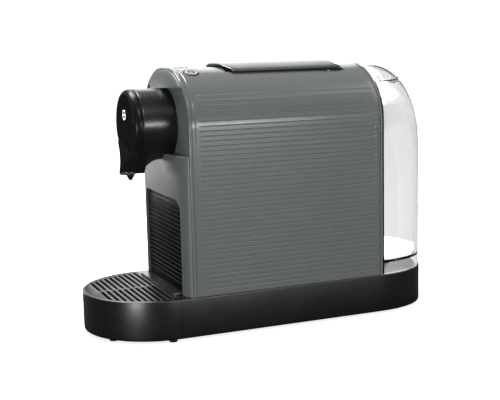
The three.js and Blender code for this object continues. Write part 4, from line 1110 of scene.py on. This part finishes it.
def build_lid():
    lid = make_mesh("tank_lid_shell", *rear_solid(0, TANK_FRONT_Y, TANK_FOOT_Z))
    inner = rear_solid(TANK_WALL, TANK_FRONT_Y - 5, 20)
    bottom = TANK_SPLIT_Z + LID_GAP
    carve(lid, slab(0, bottom), inner)
    front_y, pivot_y, above = TANK_FRONT_Y - 1, TANK_FRONT_Y + KNUCKLE, CROWN_Z + 1
    edge = make_mesh("edge", *prism(box_outline(front_y, pivot_y, PIVOT_Z, above), -60, 60, "x"))
    carve(edge, prism(circle(KNUCKLE, pivot_y, PIVOT_Z, 40), -61, 61, "x"))
    apply_tool(lid, edge)
    notch = box_outline(-KNUCKLE_GAP, KNUCKLE_GAP, front_y, pivot_y + KNUCKLE + 0.4)
    carve(lid, prism(notch, 245, above))
    for side in (-1, 1):
        ends = sorted((side * KNUCKLE_INNER, side * KNUCKLE_OUTER))
        carve(lid, prism(circle(KNUCKLE, pivot_y, PIVOT_Z, 32), *ends, "x"), operation="UNION")
    tab = box_outline(-TAB_HALF, TAB_HALF, TAB_FRONT_Y, TAB_REAR_Y)
    tab = prism(tab, bottom, TANK_SPLIT_Z + TAB_HEIGHT)
    carve(lid, tab, operation="UNION", sharp_deg=40)
    dress(lid, CLEAR, "lid", "clear_plastic", "tank_lid")


# --- CAD nodes that keep their shape ---

def finish_cad_nodes():
    kept = {
        BLACK: ["base_plate", "lever_bed"],
        HOUSING: ["rear_bulkhead"],
        TRIM: ["tank_valve"],
        RUBBER: ["cord_gland"] + [f"{kind}_foot_{i}" for kind in ("base", "tray") for i in range(1, 5)],
        STEEL: ["lever_pin", "idler_pin", "guide_rail_left", "guide_rail_right", "tank_lid_pin"]
        + [f"base_screw_{i}" for i in range(1, 5)],
        CAST: ["thermoblock"],
        BRASS: ["pump"],
        INNER: ["tank_dock", "capsule_chute", "brew_chamber", "brew_frame"],
        WHITE: ["idler_gear", "brew_carriage", "valve_plunger", "flow_meter"],
        BOARD: ["control_board"],
        SILICONE: ["dock_seal", "hose_inlet", "hose_pressure"],
    }
    for material, nodes in kept.items():
        for node in nodes:
            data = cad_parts[node].data
            data.materials.clear()
            data.materials.append(material)


# --- Floor, light and camera ---

# Levels for the camera, through plastic, in a reflection and as light.
FLOOR_ALBEDO = (0.75, 0.13, 0.04, 0.13)
FLOOR_GLOW = (0.8, 0.78, 0.0, 0.0)
BACKDROP_GLOW = (1.05, 0.9, 0.2, 0.35)
WORLD_GLOW = (1.0, 0.98, 0.18, 0.3)
FLOOR_HALF = 6000
WALL_X, WALL_HALF, WALL_LOW, WALL_HIGH = -2600, 5000, -10, 5000


def by_sight(tree, shown, through, gloss, other):
    """A number for each way of looking: by camera, through plastic, in a reflection, by light."""
    rays = tree.nodes.new("ShaderNodeLightPath")
    value = tree.nodes.new("ShaderNodeValue")
    value.outputs["Value"].default_value = other
    value = value.outputs["Value"]
    for ray, level in (("Glossy", gloss), ("Transmission", through), ("Camera", shown)):
        mix = tree.nodes.new("ShaderNodeMix")
        mix.inputs["B"].default_value = level
        tree.links.new(value, mix.inputs["A"])
        tree.links.new(rays.outputs[f"Is {ray} Ray"], mix.inputs["Factor"])
        value = mix.outputs["Result"]
    return value


def glow(tree, base, levels):
    """Makes a stage surface dull, with a white glow of its own."""
    base.inputs["Specular IOR Level"].default_value = 0.0
    base.inputs["Emission Color"].default_value = (1, 1, 1, 1)
    tree.links.new(by_sight(tree, *levels), base.inputs["Emission Strength"])


def build_stage():
    corners = [[(x, y, 0) for x in (-FLOOR_HALF, FLOOR_HALF)] for y in (-FLOOR_HALF, FLOOR_HALF)]
    floor = make_mesh("floor", *sheet(corners))
    material, tree, base = shader("pale_floor")
    shade = tree.nodes.new("ShaderNodeCombineColor")
    albedo = by_sight(tree, *FLOOR_ALBEDO)
    for channel in ("Red", "Green", "Blue"):
        tree.links.new(albedo, shade.inputs[channel])
    tree.links.new(shade.outputs["Color"], base.inputs["Base Color"])
    base.inputs["Roughness"].default_value = 0.9
    glow(tree, base, FLOOR_GLOW)
    floor.data.materials.append(material)

    corners = [[(WALL_X, y, z) for y in (-WALL_HALF, WALL_HALF)] for z in (WALL_LOW, WALL_HIGH)]
    wall = make_mesh("backdrop", *sheet(corners))
    material, tree, base = shader("white_backdrop")
    base.inputs["Base Color"].default_value = (0, 0, 0, 1)
    glow(tree, base, BACKDROP_GLOW)
    wall.data.materials.append(material)

    world = bpy.data.worlds.new("studio")
    world.use_nodes = True
    tree = world.node_tree
    tree.links.new(by_sight(tree, *WORLD_GLOW), tree.nodes["Background"].inputs["Strength"])
    tree.nodes["Background"].inputs["Color"].default_value = (1, 1, 1, 1)
    bpy.context.scene.world = world


def softbox(name, place, target, size, power):
    """Area light in metres that faces a target."""
    light = bpy.data.lights.new(name, "AREA")
    light.shape = "RECTANGLE"
    light.size, light.size_y = size
    light.energy = power
    lamp = bpy.data.objects.new(name, light)
    lamp.location = place
    lamp.rotation_euler = (Vector(target) - Vector(place)).to_track_quat("-Z", "Y").to_euler()
    bpy.context.scene.collection.objects.link(lamp)


def build_lights():
    """Lamps by what they put on the machine, aimed at it from all round."""
    middle = (0, 0, 0.15)
    softbox("crown_light", (0.45, 1.25, 1.35), middle, (1.0, 1.0), 8)
    softbox("front_top", (-0.7, -0.3, 1.6), middle, (0.8, 0.8), 42)
    softbox("flute_light", (1.3, -0.05, 1.5), middle, (0.3, 0.3), 7.5)
    softbox("edge_strip", (1.13, -1.22, 0.045), (0.04, -0.15, 0.08), (0.42, 0.08), 10)
    softbox("drum_band", (1.46, 0.38, 0.27), (0, -0.1, 0.2), (0.5, 0.14), 7)
    softbox("column_box", (-1.6, -0.6, 0.12), (0, -0.1, 0.15), (0.7, 0.24), 4.5)
    softbox("lever_box", (-1.7, 0.68, 0.85), (0, 0, 0.2), (1.0, 1.5), 11)


CAMERA_PLACE = (0.97307, -0.41366, 0.28494)
CAMERA_AZIMUTH, CAMERA_PITCH, CAMERA_ROLL = 67.2211, 8.8388, -1.2958
CAMERA_LENS, CAMERA_SENSOR = 73.54, 36


def build_camera():
    data = bpy.data.cameras.new("camera")
    data.lens, data.sensor_width = CAMERA_LENS, CAMERA_SENSOR
    camera = bpy.data.objects.new("camera", data)
    camera.matrix_world = (
        Matrix.Translation(CAMERA_PLACE)
        @ Matrix.Rotation(math.radians(CAMERA_AZIMUTH), 4, "Z")
        @ Matrix.Rotation(math.radians(90 - CAMERA_PITCH), 4, "X")
        @ Matrix.Rotation(math.radians(CAMERA_ROLL), 4, "Z")
    )
    bpy.context.scene.collection.objects.link(camera)
    bpy.context.scene.camera = camera
    bpy.context.scene.view_settings.view_transform = "Standard"


build_camera()
build_stage()
build_lights()
build_shell()
build_housing()
build_drum()
build_cap()
build_spout()
build_mark()
build_buttons()
build_lever()
build_base()
build_tray()
build_grate()
build_container()
build_tank()
build_lid()
finish_cad_nodes()
